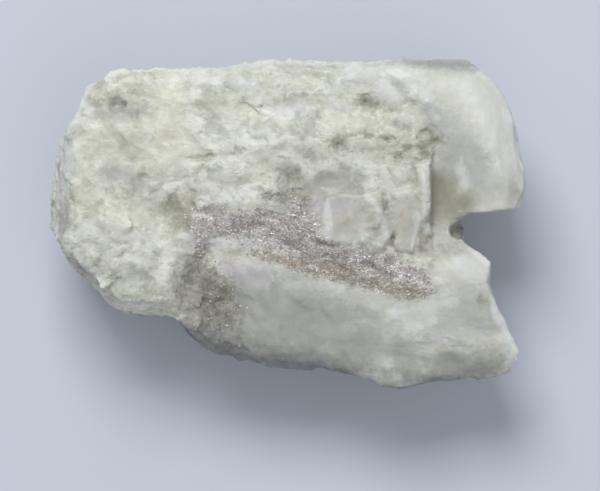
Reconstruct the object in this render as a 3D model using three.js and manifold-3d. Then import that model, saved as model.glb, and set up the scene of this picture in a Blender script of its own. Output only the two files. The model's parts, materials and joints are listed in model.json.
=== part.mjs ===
// Tourmaline in albite: a broken, unpolished hand specimen.
// It is one stone. White albite carries a seam of fine-grained tourmaline that grew with it.
// Millimetres, +Z up. X runs along the stone and Y across it. The origin is the middle of the
// footprint, on the surface that the stone rests on.
import * as THREE from "three";
import { ConvexGeometry } from "three/addons/geometries/ConvexGeometry.js";
import { ImprovedNoise } from "three/addons/math/ImprovedNoise.js";
import { mergeVertices } from "three/addons/utils/BufferGeometryUtils.js";
import Module from "manifold-3d";

// ---- driving dimensions ----

const TALLEST = 38; // no part of the stone stands higher than this above its resting surface
const BEYOND = { sides: 52, top: 60, bottom: -20 }; // how far the cutters reach, clear of the stone
const UPLAND = { height: 34.4, tilt: [0.022, 0.012] }; // the north half: coarse, sugary albite
const SLAB = { height: 29.2, tilt: [0.02, 0.06], level: -14 }; // the smoother south half
const WIDEST = 24; // height at which the walls stand out furthest
const WALL_ENDS = 2; // how far the walls run past the stone's top and underside before the cuts
const WALL_WANDER = { size: 4, rise: 1 }; // how their rings wander up and down
const WALL_RELIEF = 0.6; // share of the relief that the walls show
const WALL_LEAN = { above: 0.04, below: 0.17 }; // how far they draw in, per mm of height

// Sizes of the triangles that each surface is made of.
const TOP_CELL = 2.0;
const UNDER_CELL = 4.2;
const WALL_POINTS = 118;
const WALL_STEPS = 13;
const BITE_STEPS = 14;
const UNEVEN = 0.34; // share of a cell that its corners are moved by, so no grid shows

// Relief of broken albite: each kind's size across, and its height.
const CLEAVAGES = { size: 5.0, tilt: 1.7 };
const WALL_CLEAVAGES = { size: 9.0, tilt: 3.6 }; // larger on the walls and the underside
const GRAIN = { size: 2.6, rise: 0.6 };
const UNDULATION = { size: 9, rise: 0.9 };

// The plan, clockwise from the north-west corner. The bite in the east side is cut later.
const PLAN = [
  [-36.0, 26.4], [-34.4, 27.5], [-28.2, 28.2], [-20.6, 28.4], [-13.0, 28.2], [-8.4, 29.2],
  [2.3, 29.8], [10.9, 30.1], [22.1, 30.3], [33.8, 30.1], [35.6, 29.4], [37.0, 27.2],
  [39.0, 26.0], [41.2, 22.4], [43.1, 17.3], [43.8, 12.6], [45.1, 8.0], [44.9, 5.6],
  [44.5, 2.2], [42.0, -4.0], [38.7, -10.4], [39.2, -14.0], [40.4, -17.1], [42.2, -20.5],
  [44.6, -25.2], [45.4, -27.8], [44.0, -29.8], [41.0, -30.4], [35.9, -30.3], [29.0, -31.0],
  [21.4, -32.3],
  [16.0, -31.2], [9.9, -29.7], [3.8, -28.3], [-3.8, -27.8], [-7.2, -26.7], [-14.3, -25.9],
  [-16.9, -24.0], [-19.8, -20.8], [-22.3, -18.7], [-28.4, -18.0], [-31.6, -17.3],
  [-34.2, -15.6], [-40.4, -8.4], [-43.3, -5.0], [-44.9, -2.2], [-45.0, 2.2], [-44.7, 8.1],
  [-44.5, 13.8], [-43.4, 16.4], [-41.9, 17.8], [-40.0, 21.5], [-37.8, 25.6],
];

// The line along the foot of the step from the upland down to the slab, from south to east.
const SEAM_FOOT = [
  [-14.5, -30.0], [-18.6, -21.0], [-18.8, -12.5], [-15.0, -7.6], [-9.5, -6.6], [-4.5, -7.0],
  [2.5, -8.7], [10.0, -11.2], [17.5, -13.2], [24.0, -14.2], [28.5, -12.2], [31.0, -8.8],
  [35.0, -7.1], [52.0, -5.1],
];
const SEAM_SLOPE = { west: 4, east: 10, from: -19, to: -10 }; // width of the step's face, in mm
const SEAM_FOOT_POINTS = 90;

// Broken faces round the top: the middle of each, the way it falls (degrees from +X), its slope
// and how far it reaches to each side of its middle.
const TOP_FACES = [
  { at: [33.5, 28.2, 34.4], falls: 78, slope: 1.3, wide: 7 }, // grey strip, north-east
  { at: [38.2, 24.4, 34.2], falls: 44, slope: 0.6, wide: 6 },
  { at: [41.2, 16.8, 33.4], falls: 20, slope: 0.8, wide: 8 },
  { at: [43.2, 7.8, 32.4], falls: 4, slope: 1.1, wide: 8 },
  { at: [0.0, 29.0, 34.2], falls: 91, slope: 1.6, wide: 30 }, // north rim
  { at: [-18.0, 27.0, 33.6], falls: 98, slope: 0.5, wide: 14 },
  { at: [-35.4, 24.4, 32.4], falls: 138, slope: 0.8, wide: 8 },
  { at: [-39.8, 11.0, 32.2], falls: 172, slope: 0.4, wide: 12 },
  { at: [-42.2, 7.0, 29.8], falls: 180, slope: 2.4, wide: 9 }, // strip along the west end
  { at: [-43.0, -6.3, 30.0], falls: 206, slope: 1.9, wide: 8 },
  { at: [-37.4, -13.3, 29.6], falls: 226, slope: 2.5, wide: 7 },
  { at: [-27.0, -18.2, 29.6], falls: 262, slope: 2.6, wide: 7 },
  { at: [-17.6, -22.4, 26.4], falls: 230, slope: 2.2, wide: 6 }, // dark face, south-west
  { at: [-2.0, -26.6, 26.6], falls: 262, slope: 1.5, wide: 14 },
  { at: [15.0, -31.2, 26.2], falls: 254, slope: 1.3, wide: 7 },
  { at: [20.0, -25.0, 28.4], falls: 264, slope: 0.26, wide: 20 },
  { at: [32.5, -29.6, 26.0], falls: 282, slope: 1.4, wide: 5 },
  { at: [42.4, -23.5, 27.2], falls: 340, slope: 0.9, wide: 7 },
];
const FACE_ENDS = 2.2; // how steeply a face gives out past its reach, in mm per mm
const FACE_BLEND = 0.5; // how far, in mm, the edges between those faces are rounded off

// Broken faces round the underside: each rises, by its slope, from a point of the flat spot.
const UNDER_FACES = [
  { from: [-21, 4], rises: 178, slope: 0.5 },
  { from: [-17, -7], rises: 214, slope: 0.58 },
  { from: [-6, -10.5], rises: 262, slope: 0.56 },
  { from: [11, -11], rises: 292, slope: 0.6 },
  { from: [15, -7], rises: 322, slope: 0.62 },
  { from: [20, 6], rises: 2, slope: 0.4 },
  { from: [15, 14], rises: 52, slope: 0.48 },
  { from: [-4, 15], rises: 92, slope: 0.4 },
  { from: [-18, 12], rises: 138, slope: 0.46 },
];
const UNDER_LIP = { rise: 1.0, over: 3 }; // how the underside leaves the flat spot

// Low swells and dips of the top: centre, reach, and rise (below zero for a dip).
const SWELLS = [
  { at: [35.5, -9.9], reach: 9.0, rise: 3.4 }, // bright bulge below the bite
  { at: [20.5, -21.1], reach: 9.0, rise: 1.2 },
  { at: [26.4, -12.3], reach: 4.4, rise: 0.9 },
  { at: [-1.0, -17.1], reach: 8.0, rise: 0.8 },
  { at: [31.5, -29.6], reach: 5.0, rise: -2.8 }, // hollow between the two southern lobes
  { at: [5.5, -28.1], reach: 4.4, rise: -1.4 },
  { at: [7.0, -20.6], reach: 5.0, rise: -0.8 },
  { at: [-13.0, -18.1], reach: 7.0, rise: -2.0 }, // dark spur west of the slab
  { at: [-22.0, -5.1], reach: 7.0, rise: -1.1 },
  { at: [-21.0, 1.3], reach: 3.6, rise: -0.9 },
  { at: [-34.0, 0.9], reach: 8.5, rise: 0.9 },
  { at: [-27.0, 14.9], reach: 9.0, rise: 0.7 },
  { at: [-11.0, 7.4], reach: 5.5, rise: 1.0 },
  { at: [3.0, 16.4], reach: 6.0, rise: 1.2 },
  { at: [12.0, 25.4], reach: 5.5, rise: 0.8 },
  { at: [-2.0, -2.1], reach: 6.0, rise: -0.8 },
  { at: [29.0, 3.4], reach: 8.0, rise: -0.9 }, // dark corner at the foot of the cleavage wall
];

// Holes and hollows that were plucked out: centre, size across X and Y, depth, heading (degrees).
const PITS = [
  { at: [-32.3, 21.0], size: [5.0, 2.2], depth: 2.2, heading: 8 },
  { at: [14.9, 21.6], size: [3.4, 2.6], depth: 2.2, heading: -12 },
  { at: [9.7, 13.4], size: [2.6, 2.2], depth: 1.8, heading: 20 },
  { at: [8.2, 6.4], size: [9.0, 4.2], depth: 1.3, heading: 12 },
  { at: [0.8, 7.5], size: [6.4, 1.6], depth: 1.5, heading: -34 },
  { at: [19.2, 14.2], size: [3.6, 1.5], depth: 1.2, heading: 10 },
  { at: [26.6, 15.2], size: [5.0, 2.6], depth: 1.6, heading: 38 },
  { at: [-16.5, 10.6], size: [6.5, 1.3], depth: 0.9, heading: 4 },
  { at: [-27.0, 7.1], size: [4.4, 2.0], depth: 0.9, heading: -30 },
];
const PIT_SIDES = 7;
const PIT_RINGS = [ // height in depths above the pit's rim, and width in the pit's own widths
  { up: 2, wide: 1.5 }, { up: 0, wide: 1.05 }, { up: -0.6, wide: 0.7 }, { up: -1, wide: 0.3 },
];
const PIT_UNEVEN = { wide: [0.7, 1.2], lean: [-0.5, 0.5] };

// Albite crystals that stand above the seam: the outline of each, the height of its top's
// middle, and how much the top rises per mm towards +X and towards +Y.
const CRYSTALS = [
  {
    outline: [[7.3, 3.3], [11.2, 4.2], [14.8, 3.5], [14.6, -2.4], [13.1, -5.3], [10.8, -6.0],
      [7.2, -5.1], [5.6, -4.6]],
    top: 34.7,
    tilt: [0.05, 0.25],
  },
  {
    outline: [[14.1, 3.2], [17.2, 4.9], [19.6, 2.2], [20.0, -3.5], [18.2, -6.9], [13.8, -5.6]],
    top: 35.1,
    tilt: [-0.08, 0.2],
  },
  { outline: [[14.2, 3.6], [15.4, 4.2], [20.4, -2.4], [19.6, -3.6]], top: 35.8, tilt: [0, 0.2] },
  {
    outline: [[19.7, 4.0], [24.8, 5.0], [26.0, 2.9], [25.4, -2.2], [23.8, -7.4], [20.3, -6.6]],
    top: 35.3,
    tilt: [0.06, 0.24],
  },
  {
    outline: [[24.4, 9.5], [27.2, 10.0], [27.5, -0.2], [25.8, -1.6], [24.9, 3.1]],
    top: 36.5,
    tilt: [0.04, 0.06],
  },
  { outline: [[19.0, 9.0], [23.6, 10.2], [24.2, 6.6], [20.4, 5.2]], top: 36.1, tilt: [0, 0.1] },
];
const CRYSTAL_ROOT = 7; // how deep each crystal's root sits in the stone
const CRYSTAL_BEVEL = 0.55;
const CRYSTAL_CROWN = 0.35; // how much a crystal's top rises in the middle

// The smooth east half: a bowl that rises to the north-east from the foot of an upright wall.
const WALL_X = 27.5;
const WALL_WAVE = { size: 1.7, depth: 0.45 };
const BOWL = { at: [28.0, 2.1], reach: 19, level: 0.16, least: 0.26, clear: 0.9 };
const BOWL_SPAN = { x: [WALL_X, BEYOND.sides], y: [-9.5, 24] };
const FLAKE = { size: [2.2, 5.0, 3.0], at: [32.6, 9.0], stands: 0.35, heading: 10, skew: 0.3, lean: -7 };

// The bite in the east side, and the ledge inside it.
const BITE = [
  [BEYOND.sides, 1.8], [44.4, 1.2], [41.5, 0.6], [38.0, 0.2], [33.7, -0.1], [33.0, -1.4], [33.8, -2.7],
  [33.1, -4.2], [34.4, -5.9], [36.3, -6.9], [38.3, -8.9], [39.0, -11.0],
  [BEYOND.sides, -13.4],
];
const BITE_UNDERCUT = 0.13; // how far its walls draw back, per mm below the widest height
const BITE_WAVE = { size: 3.2, depth: 0.6 };
const BITE_LEDGE = {
  outline: [[36.4, -0.3], [32.8, -0.4], [31.6, -1.3], [30.9, -2.4], [31.1, -3.6], [32.0, -4.5], [36.4, -4.4]],
  floor: 27.6,
  ceiling: 52,
};
const BITE_LEDGE_WAVE = { size: 2.4, depth: 0.9 };

// Small cleavage pieces that stand out of the upland and give it its sugary look.
const SUGAR = {
  count: 52,
  size: [1.8, 3.8],
  turn: 0.6,
  thick: 3.2,
  stands: [-0.1, 0.4],
  lean: 0.42,
  uneven: 0.28,
  x: [-39, 25],
  y: [-12, 25],
  clearOfSeam: 8,
  margin: 3, // each keeps this far from an edge where the ground falls below `lowest`
  lowest: -1.6,
};

// ---- small tools ----

const WELD = 1e-4;
const wasm = await Module();
wasm.setup();
const perlin = new ImprovedNoise();
const { degToRad, lerp, smoothstep, clamp } = THREE.MathUtils;

/** How far a place lies along a heading given in degrees from +X. */
function along(degrees, x, y) {
  return x * Math.cos(degToRad(degrees)) + y * Math.sin(degToRad(degrees));
}

/** Repeatable pseudo-random number from 0 to 1 for a lattice cell; `which` picks one of many. */
function cellRandom(i, j, k, which) {
  const wave = Math.sin(i * 127.1 + j * 311.7 + k * 74.7 + which * 19.19) * 43758.5453;
  return wave - Math.floor(wave);
}

/** A closed three.js geometry as a solid that can be joined and cut. */
function solidOf(geometry) {
  const bare = geometry.clone();
  bare.deleteAttribute("normal");
  bare.deleteAttribute("uv");
  const welded = mergeVertices(bare, WELD);
  return new wasm.Manifold(
    new wasm.Mesh({
      numProp: 3,
      vertProperties: welded.attributes.position.array,
      triVerts: new Uint32Array(welded.index.array),
    }),
  );
}

/** The solid as an indexed three.js geometry. */
function geometryOf(solid) {
  const mesh = solid.getMesh();
  const geometry = new THREE.BufferGeometry();
  geometry.setAttribute("position", new THREE.BufferAttribute(mesh.vertProperties, 3));
  geometry.setIndex(new THREE.BufferAttribute(mesh.triVerts, 1));
  geometry.computeVertexNormals();
  return geometry;
}

/** Moves every vertex of a geometry by a function of its place. */
function reshape(geometry, move) {
  const place = geometry.attributes.position;
  const p = new THREE.Vector3();
  for (let i = 0; i < place.count; i++) {
    move(p.fromBufferAttribute(place, i));
    place.setXYZ(i, p.x, p.y, p.z);
  }
  return geometry;
}

// ---- the relief of broken albite ----

/** Height of the tilted cleavage facet at a place given in cells, about -0.5 to 0.5. */
function facet(x, y, z) {
  let nearest = Infinity;
  let height = 0;
  for (let n = 0; n < 27; n++) {
    const i = Math.floor(x) + (n % 3) - 1;
    const j = Math.floor(y) + (Math.floor(n / 3) % 3) - 1;
    const k = Math.floor(z) + Math.floor(n / 9) - 1;
    const random = (which) => cellRandom(i, j, k, which);
    const [dx, dy, dz] = [x - i - random(1), y - j - random(2), z - k - random(3)];
    const distance = dx * dx + dy * dy + dz * dz;
    if (distance >= nearest) continue;
    nearest = distance;
    const tilt = dx * (random(4) - 0.5) + dy * (random(5) - 0.5) + dz * (random(6) - 0.5);
    height = tilt + (random(7) - 0.5) / 2;
  }
  return height;
}

/** How rough the stone is at a place: 1 in the sugary upland, less on the smooth cleavages. */
function roughness(x, y) {
  const onBlock = smoothstep(x, 21, 29) * smoothstep(y, -6, -2);
  const onSlab = 1 - smoothstep(aboveSeam(x, y), -4, 2);
  return clamp(1 - 0.85 * onBlock - 0.5 * onSlab, 0.12, 1);
}

/** Relief in mm that a kind of cleavage and the grain make at a place. */
function relief(x, y, z, cleavages = CLEAVAGES) {
  const cleavage = facet(x / cleavages.size, y / cleavages.size, z / cleavages.size);
  const grain = perlin.noise(x / GRAIN.size, y / GRAIN.size, z / GRAIN.size);
  const wave = perlin.noise(x / UNDULATION.size, y / UNDULATION.size, z / UNDULATION.size);
  return cleavages.tilt * cleavage + GRAIN.rise * grain + UNDULATION.rise * wave;
}

/** Relief in mm of the top over a place. */
function topRelief(x, y) {
  return roughness(x, y) * relief(x, y, UPLAND.height);
}

// ---- the top and the underside ----

const seamCurve = new THREE.SplineCurve(SEAM_FOOT.map(([x, y]) => new THREE.Vector2(x, y)));
const seamPoints = seamCurve.getSpacedPoints(SEAM_FOOT_POINTS);

/** Distance in mm from the seam's foot: over zero on the upland side, under zero on the slab. */
function aboveSeam(x, y) {
  let best = Infinity;
  let side = 1;
  for (let i = 0; i < SEAM_FOOT_POINTS; i++) {
    const [a, b] = [seamPoints[i], seamPoints[i + 1]];
    const distance = Math.hypot(x - a.x, y - a.y);
    if (distance >= best) continue;
    best = distance;
    side = (b.x - a.x) * (y - a.y) > (b.y - a.y) * (x - a.x) ? 1 : -1;
  }
  return side * best;
}

/** Rise of the top's swells and dips over a place. */
function swell(x, y) {
  return SWELLS.reduce((height, { at, reach, rise }) => {
    const near = Math.hypot(x - at[0], y - at[1]) / reach;
    return height + rise * Math.exp(-2 * near * near);
  }, 0);
}

/** Height of the slab over a place. */
function slabHeight(x, y) {
  return SLAB.height + SLAB.tilt[0] * x + SLAB.tilt[1] * (y - SLAB.level) + swell(x, y);
}

/** Height of the upland over a place. */
function uplandHeight(x, y) {
  return UPLAND.height + UPLAND.tilt[0] * x + UPLAND.tilt[1] * y + swell(x, y);
}

/** A height cut down to the broken faces round the top, with their edges rounded off. */
function cutByFaces(x, y, height) {
  const heights = TOP_FACES.map(({ at, falls, slope, wide }) => {
    const [dx, dy] = [x - at[0], y - at[1]];
    const past = Math.max(Math.abs(along(falls + 90, dx, dy)) - wide, 0);
    return at[2] - slope * along(falls, dx, dy) + FACE_ENDS * past;
  });
  const lowest = Math.min(height, ...heights);
  const sum = [height, ...heights].reduce((s, h) => s + Math.exp((lowest - h) / FACE_BLEND), 0);
  return lowest - FACE_BLEND * Math.log(sum);
}

/** Height of the top over a place. */
function topHeight(x, y) {
  const width = lerp(SEAM_SLOPE.west, SEAM_SLOPE.east, smoothstep(x, SEAM_SLOPE.from, SEAM_SLOPE.to));
  const step = smoothstep(aboveSeam(x, y), 0, width);
  const height = lerp(slabHeight(x, y), uplandHeight(x, y), step);
  return cutByFaces(x, y, height) + topRelief(x, y);
}

/** Height of the smooth bowl east of the cleavage wall. */
function bowlHeight(x, y) {
  const [dx, dy] = [x - BOWL.at[0], Math.max(y - BOWL.at[1], 0)];
  const climb = lerp(BOWL.least, 1, smoothstep(Math.hypot(dx, dy) / BOWL.reach, BOWL.level, 1));
  const height = lerp(slabHeight(x, y), uplandHeight(x, y) + BOWL.clear, climb);
  return cutByFaces(x, y, height) + topRelief(x, y);
}

/** Height of the underside over a place: flat in the middle, rising to the walls. */
function underHeight(x, y) {
  const rise = Math.max(
    ...UNDER_FACES.map(({ from, rises, slope }) => slope * along(rises, x - from[0], y - from[1])),
  );
  if (rise <= 0) return 0;
  const lip = smoothstep(rise, 0, UNDER_LIP.over);
  return rise + lip * (UNDER_LIP.rise + relief(x, y, 0, WALL_CLEAVAGES));
}

/** A box over a rectangle, one face of which follows a height function; the other lies at `far`. */
function cover({ x, y, cell, height, far }) {
  const [width, depth] = [x[1] - x[0], y[1] - y[0]];
  const box = new THREE.BoxGeometry(
    width, depth, 2, Math.round(width / cell), Math.round(depth / cell), 1,
  );
  box.translate((x[0] + x[1]) / 2, (y[0] + y[1]) / 2, 0);
  const farSide = far > WIDEST ? 1 : -1;
  return reshape(box, (p) => {
    if (Math.sign(p.z) === farSide) {
      p.z = far;
      return;
    }
    const inX = p.x > x[0] + WELD && p.x < x[1] - WELD;
    const inY = p.y > y[0] + WELD && p.y < y[1] - WELD;
    if (inX && inY) {
      const [i, j] = [Math.round(p.x / cell), Math.round(p.y / cell)];
      p.x += 2 * UNEVEN * cell * (cellRandom(i, j, 0, 8) - 0.5);
      p.y += 2 * UNEVEN * cell * (cellRandom(i, j, 0, 9) - 0.5);
    }
    p.z = height(p.x, p.y);
  });
}

// ---- the pieces that are joined and cut ----

/** The walls: the plan pulled up, drawn in above and below the widest height, and roughened. */
function walls() {
  const corners = PLAN.map(([x, y]) => new THREE.Vector2(x, y));
  const plan = new THREE.SplineCurve([...corners, corners[0]]).getSpacedPoints(WALL_POINTS);
  plan.pop();
  const prism = new THREE.ExtrudeGeometry(new THREE.Shape(plan), {
    depth: TALLEST + 3 * WALL_ENDS,
    steps: WALL_STEPS,
    bevelEnabled: false,
  });
  prism.translate(0, 0, -WALL_ENDS);
  return reshape(prism, (p) => {
    const lean = p.z > WIDEST ? WALL_LEAN.above : WALL_LEAN.below;
    const drawn = lean * Math.abs(p.z - WIDEST);
    const broken = WALL_RELIEF * relief(p.x, p.y, p.z, WALL_CLEAVAGES);
    const scale = 1 + (broken - drawn) / Math.hypot(p.x, p.y);
    p.x *= scale;
    p.y *= scale;
    if (p.z < 0 || p.z > TALLEST) return;
    p.z += WALL_WANDER.rise * perlin.noise(p.x / WALL_WANDER.size, p.y / WALL_WANDER.size, p.z);
  });
}

/** A crystal that stands out of the stone: a tilted top of a few facets, and bevelled edges. */
function crystal({ outline, top, tilt }) {
  const middle = [0, 1].map((axis) => outline.reduce((s, p) => s + p[axis], 0) / outline.length);
  const points = [new THREE.Vector3(...middle, top + CRYSTAL_CROWN)];
  for (const [x, y] of outline) {
    const [dx, dy] = [x - middle[0], y - middle[1]];
    const inset = 1 - CRYSTAL_BEVEL / Math.hypot(dx, dy);
    const z = top + tilt[0] * dx + tilt[1] * dy - CRYSTAL_CROWN * cellRandom(x, y, 0, 1);
    points.push(new THREE.Vector3(x, y, top - CRYSTAL_ROOT));
    points.push(new THREE.Vector3(x, y, z - CRYSTAL_BEVEL));
    points.push(new THREE.Vector3(middle[0] + dx * inset, middle[1] + dy * inset, z));
  }
  return new ConvexGeometry(points);
}

/** One of the small cleavage pieces of the upland, or null where it would hang over an edge. */
function sugarPiece(n) {
  const pick = (which, from, to) => lerp(from, to, cellRandom(n, 3, 5, which));
  const [x, y] = [pick(1, ...SUGAR.x), pick(2, ...SUGAR.y)];
  const ground = topHeight(x, y);
  const around = [[1, 0], [-1, 0], [0, 1], [0, -1]].map(([dx, dy]) => {
    return topHeight(x + SUGAR.margin * dx, y + SUGAR.margin * dy) - uplandHeight(x, y);
  });
  if (aboveSeam(x, y) < SUGAR.clearOfSeam || Math.min(...around) < SUGAR.lowest) return null;
  const [length, width] = [pick(3, ...SUGAR.size) / 2, pick(4, ...SUGAR.size) / 2];
  const corners = [];
  for (let corner = 0; corner < 8; corner++) {
    const side = [corner & 1, (corner >> 1) & 1, corner >> 2].map((bit) => 2 * bit - 1);
    const off = [20, 30, 40].map((which) => pick(which + corner, -SUGAR.uneven, SUGAR.uneven));
    corners.push(
      new THREE.Vector3(
        length * (side[0] + off[0]), width * (side[1] + off[1]), (side[2] + off[2] / 2) * SUGAR.thick / 2,
      ),
    );
  }
  const piece = new ConvexGeometry(corners);
  piece.rotateX(pick(8, -SUGAR.lean, SUGAR.lean));
  piece.rotateY(pick(9, -SUGAR.lean, SUGAR.lean));
  piece.rotateZ(pick(10, -SUGAR.turn, SUGAR.turn));
  return piece.translate(x, y, ground - SUGAR.thick / 2 + pick(11, ...SUGAR.stands));
}

/** A hole with uneven sides that draws in towards its floor. */
function pit({ at, size, depth, heading }) {
  const points = [];
  for (let n = 0; n < PIT_SIDES; n++) {
    const angle = (n / PIT_SIDES) * 2 * Math.PI;
    const reach = lerp(...PIT_UNEVEN.wide, cellRandom(n, at[0], at[1], 1)) / 2;
    const lean = lerp(...PIT_UNEVEN.lean, cellRandom(n, at[0], at[1], 2));
    for (const { up, wide } of PIT_RINGS) {
      const x = size[0] * Math.cos(angle) * reach * wide;
      const y = size[1] * Math.sin(angle) * reach * wide;
      points.push(new THREE.Vector3(x, y, depth * up + lean * (1 - wide)));
    }
  }
  const hole = new ConvexGeometry(points);
  hole.rotateZ(degToRad(heading));
  return hole.translate(at[0], at[1], topHeight(at[0], at[1]));
}

/** The thin flake that stands on the bowl near the wall. */
function flake() {
  const block = new THREE.BoxGeometry(...FLAKE.size);
  block.applyMatrix4(new THREE.Matrix4().makeShear(FLAKE.skew, 0, 0, 0, 0, 0));
  block.rotateY(degToRad(FLAKE.lean));
  block.rotateZ(degToRad(FLAKE.heading));
  const [x, y] = FLAKE.at;
  return block.translate(x, y, bowlHeight(x, y) + FLAKE.stands - FLAKE.size[2] / 2);
}

/** What is missing over the bowl, with an uneven upright west side. */
function bowl() {
  const cutter = cover({ ...BOWL_SPAN, cell: TOP_CELL, height: bowlHeight, far: BEYOND.top });
  return reshape(cutter, (p) => {
    if (p.x > WALL_X + WELD) return;
    p.x += WALL_WAVE.depth * perlin.noise(p.y / WALL_WAVE.size, p.z / WALL_WAVE.size, 0);
  });
}

/** The bite's outline as an upright cutter with uneven walls that draw back below. */
function bite() {
  const shape = new THREE.Shape(BITE.map(([x, y]) => new THREE.Vector2(x, y)));
  const cutter = new THREE.ExtrudeGeometry(shape, {
    depth: BEYOND.top - BEYOND.bottom,
    steps: BITE_STEPS,
    bevelEnabled: false,
  });
  cutter.translate(0, 0, BEYOND.bottom);
  const middle = BITE[5][1];
  return reshape(cutter, (p) => {
    if (p.x >= BEYOND.sides) return;
    const { size, depth } = BITE_WAVE;
    p.x += depth * perlin.noise(p.x / size, p.y / size, p.z / size);
    if (p.y > middle) p.y += BITE_UNDERCUT * Math.max(UPLAND.height - p.z, 0);
  });
}

/** The ledge inside the bite: the upper layers broke off further in than the lower ones. */
function biteLedge() {
  const { outline, floor, ceiling } = BITE_LEDGE;
  const { size, depth } = BITE_LEDGE_WAVE;
  const shape = new THREE.Shape(outline.map(([x, y]) => new THREE.Vector2(x, y)));
  const tall = ceiling - floor;
  const steps = Math.round(tall / size);
  const cutter = new THREE.ExtrudeGeometry(shape, { depth: tall, steps, bevelEnabled: false });
  cutter.translate(0, 0, floor);
  return reshape(cutter, (p) => {
    const wave = depth * perlin.noise(p.x / size, p.y / size, p.z / size);
    p.x += wave;
    p.z += wave;
  });
}

/** The whole stone as one solid. */
function specimen() {
  const everywhere = { x: [-BEYOND.sides, BEYOND.sides], y: [-BEYOND.sides, BEYOND.sides] };
  const above = cover({ ...everywhere, cell: TOP_CELL, height: topHeight, far: BEYOND.top });
  const below = cover({ ...everywhere, cell: UNDER_CELL, height: underHeight, far: BEYOND.bottom });
  let stone = solidOf(walls()).subtract(solidOf(above)).subtract(solidOf(below));
  for (let n = 0; n < SUGAR.count; n++) {
    const piece = sugarPiece(n);
    if (piece) stone = stone.add(solidOf(piece));
  }
  for (const shape of CRYSTALS) stone = stone.add(solidOf(crystal(shape)));
  stone = stone.subtract(solidOf(bowl())).add(solidOf(flake()));
  for (const hole of PITS) stone = stone.subtract(solidOf(pit(hole)));
  return stone.subtract(solidOf(bite())).subtract(solidOf(biteLedge()));
}

// ---- the part ----

const albite = new THREE.MeshStandardMaterial({ color: 0xd0d1c8, roughness: 0.62, metalness: 0 });
const stone = new THREE.Mesh(geometryOf(specimen()), albite);
stone.name = "albite_with_tourmaline";
stone.geometry.computeBoundingBox();
const box = stone.geometry.boundingBox;
stone.geometry.translate(-(box.min.x + box.max.x) / 2, -(box.min.y + box.max.y) / 2, -box.min.z);

const part = new THREE.Group();
part.add(stone);
export default part;
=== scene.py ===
"""A hand specimen of white albite with a seam of fine tourmaline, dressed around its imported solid.

Metres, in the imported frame: +X along the stone, +Y towards its coarse side, +Z up from the face
that it rests on. Sizes in the dataclasses are in millimetres and are multiplied by MM.
"""

import json
import logging
import math
from dataclasses import dataclass
from enum import Enum
from functools import partial
from typing import Any, Callable

import bpy
import numpy as np
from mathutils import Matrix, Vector

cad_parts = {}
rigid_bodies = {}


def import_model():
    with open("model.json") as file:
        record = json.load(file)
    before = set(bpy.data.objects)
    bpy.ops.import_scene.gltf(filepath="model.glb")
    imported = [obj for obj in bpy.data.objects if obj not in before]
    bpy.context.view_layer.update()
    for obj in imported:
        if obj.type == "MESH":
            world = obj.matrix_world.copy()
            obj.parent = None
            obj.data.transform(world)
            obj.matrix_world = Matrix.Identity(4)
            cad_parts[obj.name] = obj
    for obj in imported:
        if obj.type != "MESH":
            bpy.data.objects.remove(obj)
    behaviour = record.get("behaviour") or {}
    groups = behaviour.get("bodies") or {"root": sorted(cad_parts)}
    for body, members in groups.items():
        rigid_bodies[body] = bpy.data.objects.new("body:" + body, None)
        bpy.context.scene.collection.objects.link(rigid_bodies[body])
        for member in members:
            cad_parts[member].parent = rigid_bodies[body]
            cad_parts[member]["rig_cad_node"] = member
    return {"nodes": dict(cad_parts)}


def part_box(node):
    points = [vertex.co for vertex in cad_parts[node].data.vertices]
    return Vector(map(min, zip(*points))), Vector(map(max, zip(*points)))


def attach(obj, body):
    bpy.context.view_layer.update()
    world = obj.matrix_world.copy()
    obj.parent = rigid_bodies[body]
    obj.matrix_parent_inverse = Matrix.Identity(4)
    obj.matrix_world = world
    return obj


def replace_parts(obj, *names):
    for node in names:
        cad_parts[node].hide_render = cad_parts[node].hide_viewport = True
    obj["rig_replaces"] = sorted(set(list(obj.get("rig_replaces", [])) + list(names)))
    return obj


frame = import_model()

MM = 0.001
PER_MM = 1000.0
NODE = "albite_with_tourmaline"
BODY = "root"

Place = tuple[float, float, float]
Colour = tuple[float, float, float, float]
Node = bpy.types.Node
Socket = bpy.types.NodeSocket
Piece = bpy.types.Object
Add = Callable[..., Node]

log = logging.getLogger("specimen")


# ---- small tools ----


def linear(sheet: str) -> Colour:
    """Turns an sRGB colour into the linear colour that shaders take.

    Args:
        sheet: the colour as six hex digits.

    Returns:
        Red, green, blue and alpha, linear.
    """
    parts = [int(sheet[i : i + 2], 16) / 255 for i in (0, 2, 4)]
    red, green, blue = ((c / 12.92) if c <= 0.04045 else ((c + 0.055) / 1.055) ** 2.4 for c in parts)
    return red, green, blue, 1.0


def node(
    tree: bpy.types.NodeTree, kind: str, inputs: dict[Any, Any] | None = None, **settings: Any
) -> Node:
    """Adds a node to a tree with its settings, its values and its links.

    Args:
        tree: the shader or geometry tree.
        kind: the node's type name.
        inputs: what goes into each socket, by its name or number: a value, a socket, or a node,
            which stands for its first output in use.
        settings: the node's own properties.

    Returns:
        The new node.
    """
    made = tree.nodes.new(kind)
    for name, value in settings.items():
        setattr(made, name, value)
    for key, value in (inputs or {}).items():
        if isinstance(value, Node):
            value = next(o for o in value.outputs if o.enabled)
        if isinstance(value, Socket):
            tree.links.new(value, made.inputs[key])
        else:
            made.inputs[key].default_value = value
    return made


def select_only(piece: Piece) -> None:
    """Leaves one object selected and active.

    Args:
        piece: that object.
    """
    bpy.ops.object.select_all(action="DESELECT")
    piece.select_set(True)
    bpy.context.view_layer.objects.active = piece


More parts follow.
